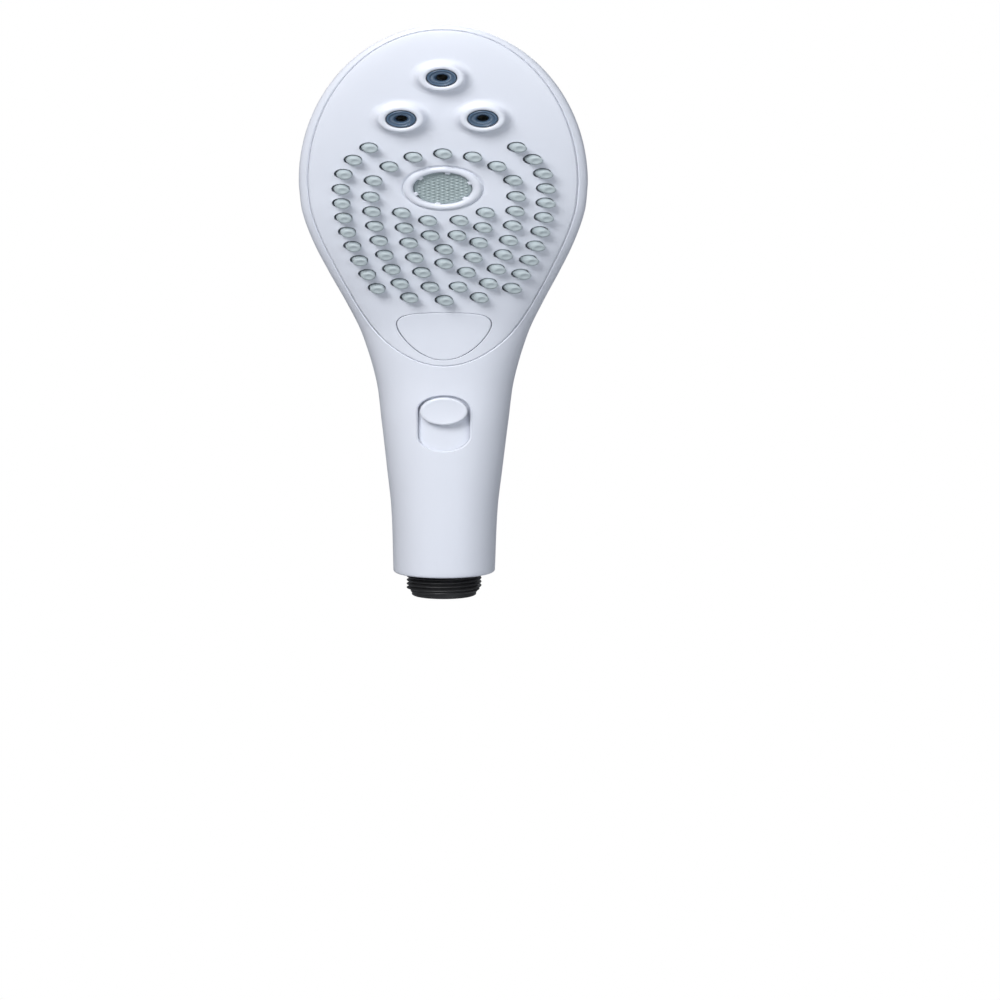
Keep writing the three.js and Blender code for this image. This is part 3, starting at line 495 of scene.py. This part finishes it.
# %% Places on the front
# Each row: half width, how far it draws in, heights of its first and last pin, number of pins.
PIN_ROWS = [
    (28, 9.3, 201.7, 153, 8),
    (19.9, 10.2, 197.8, 148.3, 8),
    (11.8, 7.9, 190, 153.6, 6),
    (4.7, 1, 186.2, 178.9, 2),
]
# Each arc: radius, height of its centre, degrees between pins.
PIN_ARCS = [(28.1, 201.7, 14.8), (20.6, 197.8, 22.3)]
MIDDLE_PINS = [218.3, 172.2, 165.2, 146.9]
ROW_LEVEL, ROW_BEND, DISC_HEIGHT = 197.8, 1.9, 201.5


def pin_places():
    """[x, z] of every pin. A row draws in as ((ROW_LEVEL - z) / (ROW_LEVEL - foot))^ROW_BEND."""
    right = []
    for half, draw, top, foot, count in PIN_ROWS:
        z = np.linspace(top, foot, count)
        down = np.maximum(ROW_LEVEL - z, 0) / (ROW_LEVEL - foot)
        right.append(np.stack([half - draw * down**ROW_BEND, z], -1))
    for radius, centre, step in PIN_ARCS:
        angle = np.radians(step * np.arange(1, 4))
        right.append(np.stack([radius * np.cos(angle), centre + radius * np.sin(angle)], -1))
    right = np.concatenate(right)
    middle = np.stack([np.zeros(len(MIDDLE_PINS)), MIDDLE_PINS], -1)
    return np.concatenate([right, right * [-1, 1], middle])


PINS = pin_places()
JETS = {"top": (0.0, 254.4), "left": (-11.0, 235.2), "right": (11.0, 235.2)}
DISC = (0.0, DISC_HEIGHT)
print("pins:", len(PINS))

# %% [markdown]
# ## The button's own direction
# The push button doesn't move straight back: its surface leans, and it is pressed square to that lean. Its
# outline is drawn on a plane tilted by the same angle and carried along the press direction until it
# meets the casing. A few rounds of a fixed-point search find that meeting for all points at once.

# %% Push button
TILT = np.radians(10.5)
BUTTON_AT = np.array([0.0, -17.95, 128.6])
PRESS = np.array([0.0, np.cos(TILT), np.sin(TILT)])
BUTTON_UP = np.array([0.0, -np.sin(TILT), np.cos(TILT)])


def button_outline():
    """Four cubic Bezier curves: a shield with a flat top, round corners and a round foot."""
    corners = np.array([[[0, 12], [-7, 12], [-13.2, 12], [-13.2, 6]],
                        [[-13.2, 6], [-13.2, 1.4], [-7.2, -11.9], [0, -11.9]],
                        [[0, -11.9], [7.2, -11.9], [13.2, 1.4], [13.2, 6]],
                        [[13.2, 6], [13.2, 12], [7, 12], [0, 12]]], float)
    t = np.linspace(0, 1, 48, endpoint=False)[:, None]
    weights = np.concatenate([(1 - t) ** 3, 3 * t * (1 - t) ** 2, 3 * t * t * (1 - t), t**3], 1)
    return (weights @ corners).reshape(-1, 2)


def on_button(flat, depth):
    """Points of the tilted plane carried along the press direction to the casing, then depth further."""
    plane = BUTTON_AT + flat[:, :1] * np.array([1.0, 0, 0]) + flat[:, 1:] * BUTTON_UP
    far = np.zeros(len(flat))
    for _ in range(6):
        far = (front(flat[:, 0], plane[:, 2] + far * PRESS[2]) - plane[:, 1]) / PRESS[1]
    return plane + (far + depth)[:, None] * PRESS


def push_button():
    """Side wall, a small rounded edge, then shrinking outlines that follow the casing to the middle."""
    outline = button_outline()
    rings = [on_button(outline, depth) for depth in (2.2, 1.2, 0.32)]
    edge = [(0.08, 0.12), (0.2, 0.03), (0.4, 0)]
    rings += [on_button(grown(outline, -draw), depth) for draw, depth in edge]
    inner = grown(outline, -0.6)
    rings += [on_button(inner * k, 0) for k in np.linspace(1, 0.02, 26)]
    return loft("push_button", np.stack(rings))


def button_hole(gap, edge):
    """The button's outline as a cutter, flared where it crosses the surface."""
    outline = button_outline()
    levels = [(-8, gap + edge), (0, gap + edge), (edge, gap), (12, gap)]
    return loft("button_hole", np.stack([on_button(grown(outline, g), d) for d, g in levels]))


button = smooth(push_button(), 40)
print("button:", [round(v, 4) for v in button.dimensions])

# %% [markdown]
# ## The spray panel
# The panel is made the other way round from the shell: it is the skin that falls inside the same plug, with
# its own edge drawn in. The holes come next. The bosses are joined on last, so that the holes under them
# can be plain cylinders, and their feet follow the curve of the panel.

# %% Spray panel with its holes and bosses
BOSS_PROFILE = [
    (4.2, -1.6), (4.2, 2.8), (4.3, 3.15), (4.6, 3.4), (5.1, 3.5), (5.6, 3.46), (5.95, 3.28), (6.2, 2.95),
    (6.4, 2.45), (6.6, 1.85), (6.85, 1.25), (7.2, 0.75), (7.6, 0.42), (8.1, 0.2), (8.7, 0.06),
    (9.4, -0.1), (9.4, -1.6),
]
PIN_HOLE = [(2.56, -5), (2.56, -0.1), (2.66, 0), (2.66, 1.5)]
JET_HOLE = [(5.4, -6), (5.4, 1.5)]
DISC_HOLE = [(11.12, -6), (11.12, -0.4), (11.3, -0.2), (11.95, 0.04), (11.95, 2)]
BUTTON_GAP, BUTTON_EDGE = 0.2, 0.2


def boss(place):
    """A raised seat round a nozzle: a steep flank that runs out softly on to the panel. Its foot follows
    the casing, because each point starts on the surface under it."""
    r, h = np.asarray(BOSS_PROFILE).T
    angle = 2 * np.pi * np.arange(96) / 96
    x = place[0] + r[:, None] * np.cos(angle)
    z = place[1] + r[:, None] * np.sin(angle)
    normal = stands([place])[1]
    return wheel("boss", np.stack([x, front(x, z), z], -1) + h[:, None, None] * normal)


def spray_panel():
    """The skin inside the panel's plug, with a hole for each pin, the bosses, the disc and the button."""
    panel = casing("spray_panel_skin", FOOT, 0, 1.3, 50, 240)
    under = casing("under", FOOT, 0, 3, 24, 120)
    under.data.transform(Matrix.Translation((0, WALL * MM, 0)))
    boolean(panel, under)
    boolean(panel, plunge("plug", panel_outline(), 0, -EDGE), "INTERSECT")
    boolean(panel, studs("pin_holes", PINS, PIN_HOLE, 32))
    boolean(panel, studs("jet_holes", list(JETS.values()), JET_HOLE, 48))
    boolean(panel, studs("disc_hole", [DISC], DISC_HOLE, 96))
    boolean(panel, button_hole(BUTTON_GAP, BUTTON_EDGE))
    for place in JETS.values():
        boolean(panel, boss(place), "UNION")
    return smooth(panel)


panel = spray_panel()
print("spray panel:", len(panel.data.polygons), "faces")

# %% [markdown]
# ## Soft pins
# Behind the panel lies one moulding of soft silicone, a sheet with a pin through every hole, so that
# limescale can be rubbed off with a thumb. Each pin is a turned profile with a dimpled tip. The pins are
# soft and all lean a little the same way, which leaves a dark crescent in every hole. The sheet is a
# slice of the same casing a little further back.

# %% Silicone mat and its pins
PIN_PROFILE = [
    (2.15, -3.2), (2.15, -1), (2.14, 0), (2.1, 1.2), (2.07, 2.3), (2.02, 2.6), (1.92, 2.82), (1.76, 2.96),
    (1.5, 3.06), (1.25, 3.1), (1.0, 3.04), (0.7, 2.92), (0.35, 2.86),
]
PIN_LEAN = (-0.22, -0.05)


def slice_behind(name, top, bottom, outline):
    """The layer between two depths behind the casing's front, inside an outline."""
    layer = casing(name, FOOT, 0, 4, 18, 96)
    under = casing("under", FOOT, 0, 4, 18, 96)
    layer.data.transform(Matrix.Translation((0, top * MM, 0)))
    under.data.transform(Matrix.Translation((0, bottom * MM, 0)))
    boolean(layer, under)
    ring = np.stack([outline[:, 0], np.zeros(len(outline)), outline[:, 1]], -1)
    plug = loft("plug", np.stack([ring + [0, -90, 0], ring + [0, 40, 0]]))
    return boolean(layer, plug, "INTERSECT")


def silicone_mat():
    """The sheet behind the panel joined to its pins, with room left for the disc and the nozzles."""
    outline = grown(panel_outline(120), -4.2)
    outline[:, 1] = np.clip(outline[:, 1], 145, 264)
    sheet = slice_behind("nozzle_mat_skin", 2.5, 3.7, outline)
    boolean(sheet, studs("disc_hole", [DISC], [(11.3, -8), (11.3, 4)], 64))
    boolean(sheet, studs("jet_holes", list(JETS.values()), [(6.05, -8), (6.05, 4)], 48))
    boolean(sheet, studs("pins", PINS, PIN_PROFILE, 28, PIN_LEAN), "UNION")
    return smooth(sheet, 40)


mat = silicone_mat()
print("silicone mat:", len(mat.data.polygons), "faces")

# %% [markdown]
# ## Nozzles
# Three glossy rubber rings sit in the bosses. Each has a raised outer lip and a second, softer ring round
# its hole. The inner ring carries very fine ribs. They could be modelled one by one, but a cosine of the
# angle added to the height of the profile makes them all in one line.

# %% Rubber nozzle rings
NOZZLE_PROFILE = [
    (1.5, -3.1), (4.02, -3.1), (4.02, 1.0), (4.02, 2.7), (3.97, 2.93), (3.85, 3.1), (3.68, 3.2), (3.5, 3.22),
    (3.35, 3.16), (3.2, 2.98), (3.1, 2.82), (2.95, 2.74), (2.75, 2.78), (2.5, 2.84), (2.25, 2.8),
    (2.0, 2.62), (1.8, 2.3), (1.62, 1.8), (1.54, 1.0), (1.5, 0),
]


def ribs(radius, angle):
    """Fine radial ribs on the inner ring only: 0.045 cos(40 angle), fading out at two radii."""
    share = smoothstep(radius, 1.7, 2.2) * (1 - smoothstep(radius, 2.8, 3.2))
    return 0.045 * np.cos(40 * angle) * share


nozzles = {side: smooth(wheel("nozzle_" + side, turned_on(place, NOZZLE_PROFILE, 240, ribs)), 50)
           for side, place in JETS.items()}
print("nozzles:", ", ".join(nozzles))

# %% [markdown]
# ## The bezel
# A white ring holds the middle disc. It is a profile turned all the way round, but on its inner wall six
# short teeth stand inwards to grip the disc. They take no extra pieces: the ring's points are pushed
# inwards where their angle falls within a tooth.

# %% Bezel with its six teeth
BEZEL_PROFILE = [
    (8.1, -3.3), (11.08, -3.3), (11.08, -0.22), (10.82, -0.2), (10.76, 0.15), (10.6, 0.42), (10.3, 0.68),
    (9.95, 0.84), (9.6, 0.9), (9.2, 0.87), (8.8, 0.76), (8.5, 0.58), (8.26, 0.3), (8.14, 0.0), (8.1, -0.4),
    (8.1, -1.0),
]
TOOTH_REACH, FIRST_TOOTH = 0.8, np.radians(40)


def bezel():
    """A round rim, its inner wall pushed inwards by TOOTH_REACH at six angles 60 degrees apart."""
    sides = 384
    rings = turned_on(DISC, BEZEL_PROFILE, sides)
    _, _, across, up = (v[0] for v in stands([DISC]))
    angle = 2 * np.pi * np.arange(sides) / sides
    off = (angle - FIRST_TOOTH + np.pi / 6) % (np.pi / 3) - np.pi / 6
    tooth = 1 - smoothstep(np.abs(off), 0.075, 0.105)
    r, h = np.array(BEZEL_PROFILE).T
    inner_wall = (r < 8.2) & (h < 0.05)
    outwards = np.cos(angle)[:, None] * across + np.sin(angle)[:, None] * up
    push = TOOTH_REACH * inner_wall[:, None] * tooth
    return smooth(wheel("bezel", rings - push[..., None] * outwards), 45)


rim = bezel()
print("bezel:", len(rim.data.polygons), "faces")

# %% [markdown]
# ## The middle disc
# The disc is pricked all over in a honeycomb. Three cosine waves at 60 degrees to each other make exactly
# that pattern, so the bumps are heights added to a flat disc, and they fade out before its edge. Real
# height, unlike a bump in the material, still shows when the disc is seen from the side.

# %% Honeycomb disc
BUMP_PITCH, BUMP_HEIGHT = 1.5, 0.5


def honeycomb(x, y):
    """Sum of three cosines at 60 degrees, from -1.5 in the pits to 3 on the bumps."""
    k = 4 * np.pi / (np.sqrt(3) * BUMP_PITCH)
    return sum(np.cos(k * (x * np.cos(a) + y * np.sin(a))) for a in np.radians([0, 60, 120]))


def bumps(radius, angle):
    """The honeycomb as a height that fades out at the disc's edge."""
    x, y = radius * np.cos(angle), radius * np.sin(angle)
    fade = 1 - smoothstep(radius, 7.1, 7.6)
    return BUMP_HEIGHT * np.clip((honeycomb(x, y) + 0.2) / 3.2, 0, 1) ** 0.8 * fade


def middle_disc():
    """A side wall with a rounded edge, then rings shrinking to the middle that carry the bumps."""
    profile = [(8.02, -3.1), (8.02, -1.5), (7.95, -1.32), (7.8, -1.22)]
    profile += [(r, -1.2) for r in np.linspace(7.6, 0.08, 66)]
    return smooth(loft("middle_disc", turned_on(DISC, profile, 200, bumps)), 60)


disc = middle_disc()
print("disc:", len(disc.data.polygons), "faces")

# %% [markdown]
# ## Flow slider
# The shutter is bent round the handle's axis so that it can slide behind the window. The knob is round
# seen from the front, and its underside is bent to the same cylinder, so it lies close on the shutter. A
# plain cylinder would either sink into the shutter or leave a gap at its sides.

# %% Shutter and knob
KNOB_HEIGHT, KNOB_PROUD, KNOB_GAP = 91.6, 1.5, 0.3


def knob():
    """Circles in x and z: the lowest lies on a cylinder KNOB_GAP in front of the shutter, then a straight
    side, a rounded edge, and a face dished by 0.25 mm. The profile is radius and depth behind the face."""
    angle = 2 * np.pi * np.arange(128) / 128
    face = front(np.array([0.0]), np.array([KNOB_HEIGHT]))[0] - KNOB_PROUD
    profile = [(6.7, 0.9), (6.66, 0.55), (6.52, 0.28), (6.3, 0.1), (6.0, 0), (5.7, -0.02), (5.4, 0.03)]
    profile += [(r, 0.05 + 0.25 * (1 - (r / 5.4) ** 2)) for r in np.linspace(5.1, 0.2, 18)]
    r, depth = np.array([profile[0]] + profile).T
    x, z = r[:, None] * np.cos(angle), KNOB_HEIGHT + r[:, None] * np.sin(angle)
    y = np.broadcast_to(face + depth[:, None], x.shape).copy()
    y[0] = STRIP["bend"] - STRIP["outer"] - np.sqrt((STRIP["bend"] + KNOB_GAP) ** 2 - x[0] ** 2)
    return smooth(loft("slider_button", np.stack([x, y, z], -1)), 40)


slider = knob()
shutter = smooth(bent_plate("shutter", 0, STRIP["foot"], STRIP["top"]), 40)
print("slider knob:", [round(v, 4) for v in slider.dimensions])

# %% [markdown]
# ## Hose thread
# The thread is a true helix. The radius waves with height, and the wave is shifted by the angle, so that
# one turn climbs one pitch. A profile swept along a helix would also do, but it would have to be joined
# to the core, and this is one closed surface from the start. The wave is a cosine, close to the rounded
# crests and roots of a pipe thread, and it fades in over the first turn as a cut thread does.

# %% Hose connector
PITCH, CREST, ROOT = 1.814, 10.478, 9.316
THREAD_FOOT, THREAD_TOP, THREAD_ROWS = 1.9, 11.8, 120
PILOT = [(8.55, 0), (8.75, 0.12), (8.95, 0.35), (9, 0.5), (9, 1.85)]
FLANGE_AND_SPIGOT = [
    (ROOT, 11.9), (ROOT, 13), (11.5, 13.3), (11.5, 23.7), (11.2, 24), (6.5, 24), (6.5, 31), (4, 31),
]
BORE = [(4, 23.6), (6.4, 22), (6.4, 0.4)]


def connector():
    """One closed wheel: up the outside, over the spigot and down the bore. In the threaded part
    radius = root + (crest - root) (0.5 + 0.5 cos(2 pi (z / pitch - turn)))^0.8."""
    heights = np.linspace(THREAD_FOOT, THREAD_TOP, THREAD_ROWS)
    threaded = np.column_stack([np.full(THREAD_ROWS, ROOT), heights])
    r, z = np.concatenate([PILOT, threaded, FLANGE_AND_SPIGOT, BORE]).T
    sides = 160
    turn = np.arange(sides)[None, :] / sides
    fade = smoothstep(z, THREAD_FOOT, THREAD_FOOT + PITCH) * (z < 11.85) * (np.abs(r - ROOT) < 1e-6)
    wave = (0.5 + 0.5 * np.cos(2 * np.pi * (z[:, None] / PITCH - turn - 0.5))) ** 0.8
    radius = r[:, None] + (CREST - ROOT) * wave * fade[:, None]
    x, y = radius * np.cos(2 * np.pi * turn), radius * np.sin(2 * np.pi * turn)
    rings = np.stack([x, y, np.broadcast_to(z[:, None], x.shape)], -1)
    return smooth(wheel("threaded_connector", rings), 50)


thread = connector()
print("connector:", len(thread.data.polygons), "faces")

# %% [markdown]
# ## Shared effects
# Moulded plastic is never quite even. Under its gloss there is a faint cloudiness where the melt cooled,
# and a fine grain from the tool. Both are used on several finishes, so each is a node group with its
# own inputs, built once and placed wherever it's needed. The cloudiness comes first.

# %% Cloudiness as a node group
def shared_group(name, inputs, outputs):
    """An empty shader group with inputs {name: default}, a colour where the default is a tuple and a
    number otherwise, and outputs {name: kind}."""
    group = bpy.data.node_groups.new(name, "ShaderNodeTree")
    for socket, value in inputs.items():
        kind = "NodeSocketColor" if isinstance(value, tuple) else "NodeSocketFloat"
        item = group.interface.new_socket(socket, in_out="INPUT", socket_type=kind)
        item.default_value = value
    for socket, kind in outputs.items():
        group.interface.new_socket(socket, in_out="OUTPUT", socket_type=kind)
    return group, group.nodes.new("NodeGroupInput"), group.nodes.new("NodeGroupOutput")


def cloudiness_group():
    """Base colour drifting a little towards a second colour over a few centimetres."""
    inputs = {"Colour": (0.8, 0.8, 0.8, 1), "Drift": (0.7, 0.7, 0.7, 1), "Scale": 30.0, "Amount": 0.5}
    group, given, out = shared_group("cloudiness", inputs, {"Colour": "NodeSocketColor"})
    place = group.nodes.new("ShaderNodeTexCoord")
    noise = group.nodes.new("ShaderNodeTexNoise")
    noise.inputs["Detail"].default_value = 3
    amount = group.nodes.new("ShaderNodeMath")
    amount.operation = "MULTIPLY"
    mix = group.nodes.new("ShaderNodeMix")
    mix.data_type = "RGBA"
    link = group.links.new
    link(place.outputs["Object"], noise.inputs["Vector"])
    link(given.outputs["Scale"], noise.inputs["Scale"])
    link(noise.outputs["Fac"], amount.inputs[0])
    link(given.outputs["Amount"], amount.inputs[1])
    link(amount.outputs[0], mix.inputs["Factor"])
    link(given.outputs["Colour"], mix.inputs["A"])
    link(given.outputs["Drift"], mix.inputs["B"])
    link(mix.outputs["Result"], out.inputs["Colour"])
    return group


CLOUDINESS = cloudiness_group()
print("group:", CLOUDINESS.name)

# %% [markdown]
# ## Tool grain
# The steel mould leaves a fine, matt grain, and a broader unevenness that shows as a slight change in
# gloss. Two noises of different sizes give both. The group puts out a height and a roughness, and the
# material turns the height into a bump.

# %% Tool grain as a node group
def grain_group():
    """A height from two sizes of noise, and a roughness that varies with the broader one."""
    inputs = {"Fine Scale": 2500.0, "Broad Scale": 180.0, "Broad Share": 0.4}
    inputs |= {"Roughness": 0.4, "Spread": 0.08}
    outputs = {"Height": "NodeSocketFloat", "Roughness": "NodeSocketFloat"}
    group, given, out = shared_group("tool_grain", inputs, outputs)
    place = group.nodes.new("ShaderNodeTexCoord")
    fine, broad = group.nodes.new("ShaderNodeTexNoise"), group.nodes.new("ShaderNodeTexNoise")
    height, rough = group.nodes.new("ShaderNodeMath"), group.nodes.new("ShaderNodeMath")
    centre = group.nodes.new("ShaderNodeMath")
    height.operation, rough.operation, centre.operation = "MULTIPLY_ADD", "MULTIPLY_ADD", "SUBTRACT"
    centre.inputs[1].default_value = 0.5
    link = group.links.new
    for noise, scale in ((fine, "Fine Scale"), (broad, "Broad Scale")):
        link(place.outputs["Object"], noise.inputs["Vector"])
        link(given.outputs[scale], noise.inputs["Scale"])
    link(broad.outputs["Fac"], height.inputs[0])
    link(given.outputs["Broad Share"], height.inputs[1])
    link(fine.outputs["Fac"], height.inputs[2])
    link(broad.outputs["Fac"], centre.inputs[0])
    link(centre.outputs[0], rough.inputs[0])
    link(given.outputs["Spread"], rough.inputs[1])
    link(given.outputs["Roughness"], rough.inputs[2])
    link(height.outputs[0], out.inputs["Height"])
    link(rough.outputs[0], out.inputs["Roughness"])
    return group


GRAIN = grain_group()
print("group:", GRAIN.name)

# %% [markdown]
# ## Finishes
# Every finish is a Principled shader fed by the two groups with its own numbers: satin white ABS for the
# casing, matte grey silicone, glossy dark rubber for the nozzles, black glass-filled plastic for the
# connector, and plain technical plastics, rubber and steel for the pieces inside.

# %% Materials
GRAIN_DEPTH = 0.05 * MM


def material(name, colour, drift, roughness, amount=0.5, cloud=30.0, bump=0.04, **fixed):
    """A Principled material with cloudy colour, varying roughness and a fine grain in its normal."""
    made = bpy.data.materials.new(name)
    made.use_nodes = True
    tree = made.node_tree
    shader = tree.nodes["Principled BSDF"]
    clouds, grain = tree.nodes.new("ShaderNodeGroup"), tree.nodes.new("ShaderNodeGroup")
    clouds.node_tree, grain.node_tree = CLOUDINESS, GRAIN
    clouds.inputs["Colour"].default_value = (*colour, 1)
    clouds.inputs["Drift"].default_value = (*drift, 1)
    clouds.inputs["Scale"].default_value = cloud
    clouds.inputs["Amount"].default_value = amount
    grain.inputs["Roughness"].default_value = roughness
    dent = tree.nodes.new("ShaderNodeBump")
    dent.inputs["Strength"].default_value = bump
    dent.inputs["Distance"].default_value = GRAIN_DEPTH
    tree.links.new(clouds.outputs["Colour"], shader.inputs["Base Color"])
    tree.links.new(grain.outputs["Roughness"], shader.inputs["Roughness"])
    tree.links.new(grain.outputs["Height"], dent.inputs["Height"])
    tree.links.new(dent.outputs["Normal"], shader.inputs["Normal"])
    for socket, value in fixed.items():
        shader.inputs[socket.replace("_", " ")].default_value = value
    return made


# Each row: the finish's name, its colour, the colour it drifts to, and its roughness.
FINISHES = {
    "white_plastic": material("satin_white_abs", (0.74, 0.765, 0.84), (0.69, 0.72, 0.80), 0.38,
                              bump=0.25),
    "grey_silicone": material("grey_silicone", (0.44, 0.50, 0.52), (0.37, 0.43, 0.46), 0.5,
                              cloud=300, bump=0.3),
    "disc_silicone": material("disc_silicone", (0.40, 0.47, 0.48), (0.27, 0.33, 0.34), 0.5,
                              cloud=900, amount=0.8, bump=0.3),
    "jet_rubber": material("slate_rubber", (0.075, 0.125, 0.195), (0.045, 0.08, 0.135), 0.24,
                           cloud=350, bump=0.2, Coat_Weight=0.25),
    "black_plastic": material("black_plastic", (0.012, 0.012, 0.013), (0.02, 0.02, 0.022), 0.42,
                              cloud=200, bump=0.4),
    "acetal": material("natural_acetal", (0.72, 0.72, 0.68), (0.62, 0.62, 0.58), 0.45, cloud=80),
    "grey_plastic": material("grey_glass_filled", (0.12, 0.13, 0.14), (0.16, 0.17, 0.18), 0.5,
                             cloud=900, amount=1.0),
    "seal_rubber": material("seal_rubber", (0.015, 0.015, 0.017), (0.03, 0.03, 0.033), 0.7, cloud=400),
    "stainless": material("stainless_steel", (0.55, 0.55, 0.56), (0.48, 0.48, 0.5), 0.28,
                          cloud=500, Metallic=1.0),
}
print("finishes:", ", ".join(FINISHES))

# %% [markdown]
# ## Who stands for what
# Each fine piece takes the place of one plain solid of the model, moves with the same body, and takes its
# finish from the record. The pieces inside keep their own solids and only get a finish.

# %% Ride, replace and finish
PIECES = [
    (shell, "rear_shell", "housing", "white_plastic"),
    (panel, "spray_panel", "housing", "white_plastic"),
    (mat, "nozzle_mat", "housing", "grey_silicone"),
    (rim, "centre_bezel", "housing", "white_plastic"),
    (disc, "centre_spray_disc", "housing", "disc_silicone"),
    (button, "mode_button", "button", "white_plastic"),
    (slider, "slider_knob", "slider", "white_plastic"),
    (shutter, "slider_strip", "slider", "white_plastic"),
    (thread, "hose_connector", "housing", "black_plastic"),
]
PIECES += [(obj, "jet_insert_" + side, "housing", "jet_rubber") for side, obj in nozzles.items()]
for piece, node, body, slot in PIECES:
    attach(piece, body)
    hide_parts(node)
    piece.data.materials.clear()
    piece.data.materials.append(FINISHES[slot])

slots = {entry["node"]: entry["material_slot"] for entry in frame["record"]["subparts"]}
for node, obj in frame["nodes"].items():
    for material_slot in obj.material_slots:
        material_slot.material = FINISHES[slots[node]]
print("pieces:", len(PIECES), "of", len(frame["nodes"]), "nodes")

# %% [markdown]
# ## White only to the camera
# White surroundings would light the edges of a white object as brightly as its front, and the edges would
# vanish. The paper and the world therefore show the camera an even white, while the light they really
# give is dim.

# %% Paper and world
def white_to_camera(tree, plain, kind, out):
    """Mixes a pure white with a plain shader, so that only the camera sees the white."""
    white, rays, mix = (tree.nodes.new("ShaderNode" + name) for name in (kind, "LightPath", "MixShader"))
    white.inputs["Color"].default_value = (1, 1, 1, 1)
    tree.links.new(rays.outputs["Is Camera Ray"], mix.inputs["Fac"])
    tree.links.new(plain, mix.inputs[1])
    tree.links.new(white.outputs[0], mix.inputs[2])
    tree.links.new(mix.outputs["Shader"], out.inputs["Surface"])


def pale_paper():
    """Matt paper, a middle grey to every ray but the camera's."""
    paper = bpy.data.materials.new("pale_paper")
    paper.use_nodes = True
    tree = paper.node_tree
    shader = tree.nodes["Principled BSDF"]
    shader.inputs["Base Color"].default_value = (0.42, 0.43, 0.45, 1)
    shader.inputs["Roughness"].default_value = 0.9
    white_to_camera(tree, shader.outputs["BSDF"], "Emission", tree.nodes["Material Output"])
    return paper


def pale_world():
    """A dim bluish surrounding that the camera sees as white."""
    world = bpy.data.worlds.new("pale")
    world.use_nodes = True
    tree = world.node_tree
    around = tree.nodes["Background"]
    around.inputs["Color"].default_value = (0.95, 0.97, 1, 1)
    around.inputs["Strength"].default_value = 0.2
    white_to_camera(tree, around.outputs["Background"], "Background", tree.nodes["World Output"])
    return world


bpy.context.scene.world = pale_world()
print("world:", bpy.context.scene.world.name)

# %% [markdown]
# ## Studio
# A pale sweep, level below and curved up behind, gives an even background with no horizon. One large soft
# light stands high on the left, a weaker one fills from the right, and a third keeps the back from going
# dark.

# %% Sweep and lights
SWEEP_BEND, FLOOR, WALL_AT, SWEEP_TOP, SWEEP_HALF = 0.9, -0.35, 2.1, 4, 4


def sweep():
    """Floor, quarter circle and wall: a profile in y and z carried along x."""
    angle = np.linspace(0, np.pi / 2, 25)
    y = np.concatenate([[-4], WALL_AT - SWEEP_BEND * (1 - np.sin(angle)), [WALL_AT]])
    z = np.concatenate([[FLOOR], FLOOR + SWEEP_BEND * (1 - np.cos(angle)), [SWEEP_TOP]])
    x = np.linspace(-SWEEP_HALF, SWEEP_HALF, 3)
    grid = np.stack(np.broadcast_arrays(x[None, :], y[:, None], z[:, None]), -1)
    mesh = bpy.data.meshes.new("sweep")
    i, k = np.arange(len(y) - 1)[:, None] * 3, np.arange(2)[None, :]
    faces = np.stack([i + k, i + k + 1, i + k + 4, i + k + 3], -1).reshape(-1, 4)
    mesh.from_pydata(grid.reshape(-1, 3).tolist(), [], faces.tolist())
    mesh.shade_smooth()
    obj = bpy.data.objects.new("sweep", mesh)
    bpy.context.scene.collection.objects.link(obj)
    mesh.materials.append(pale_paper())
    return obj


def soft_light(name, place, target, size, power, tint=(1, 1, 1)):
    """A square area light at place, facing target."""
    light = bpy.data.lights.new(name, "AREA")
    light.size, light.energy, light.color = size, power, tint
    obj = bpy.data.objects.new(name, light)
    bpy.context.scene.collection.objects.link(obj)
    obj.location = place
    obj.rotation_euler = (Vector(target) - Vector(place)).to_track_quat("-Z", "Y").to_euler()
    return obj


sweep()
soft_light("key", (-0.4, -0.95, 1.0), (0, -0.03, 0.18), 0.7, 18.3)
soft_light("fill", (0.9, -1.4, 0.2), (0, 0, 0.12), 1.2, 7.6, (0.9, 0.95, 1))
soft_light("back", (0.3, 1.5, 1.4), (0, 0, 0.14), 1.2, 14, (0.92, 0.96, 1))
bpy.context.scene.view_settings.view_transform = "Standard"
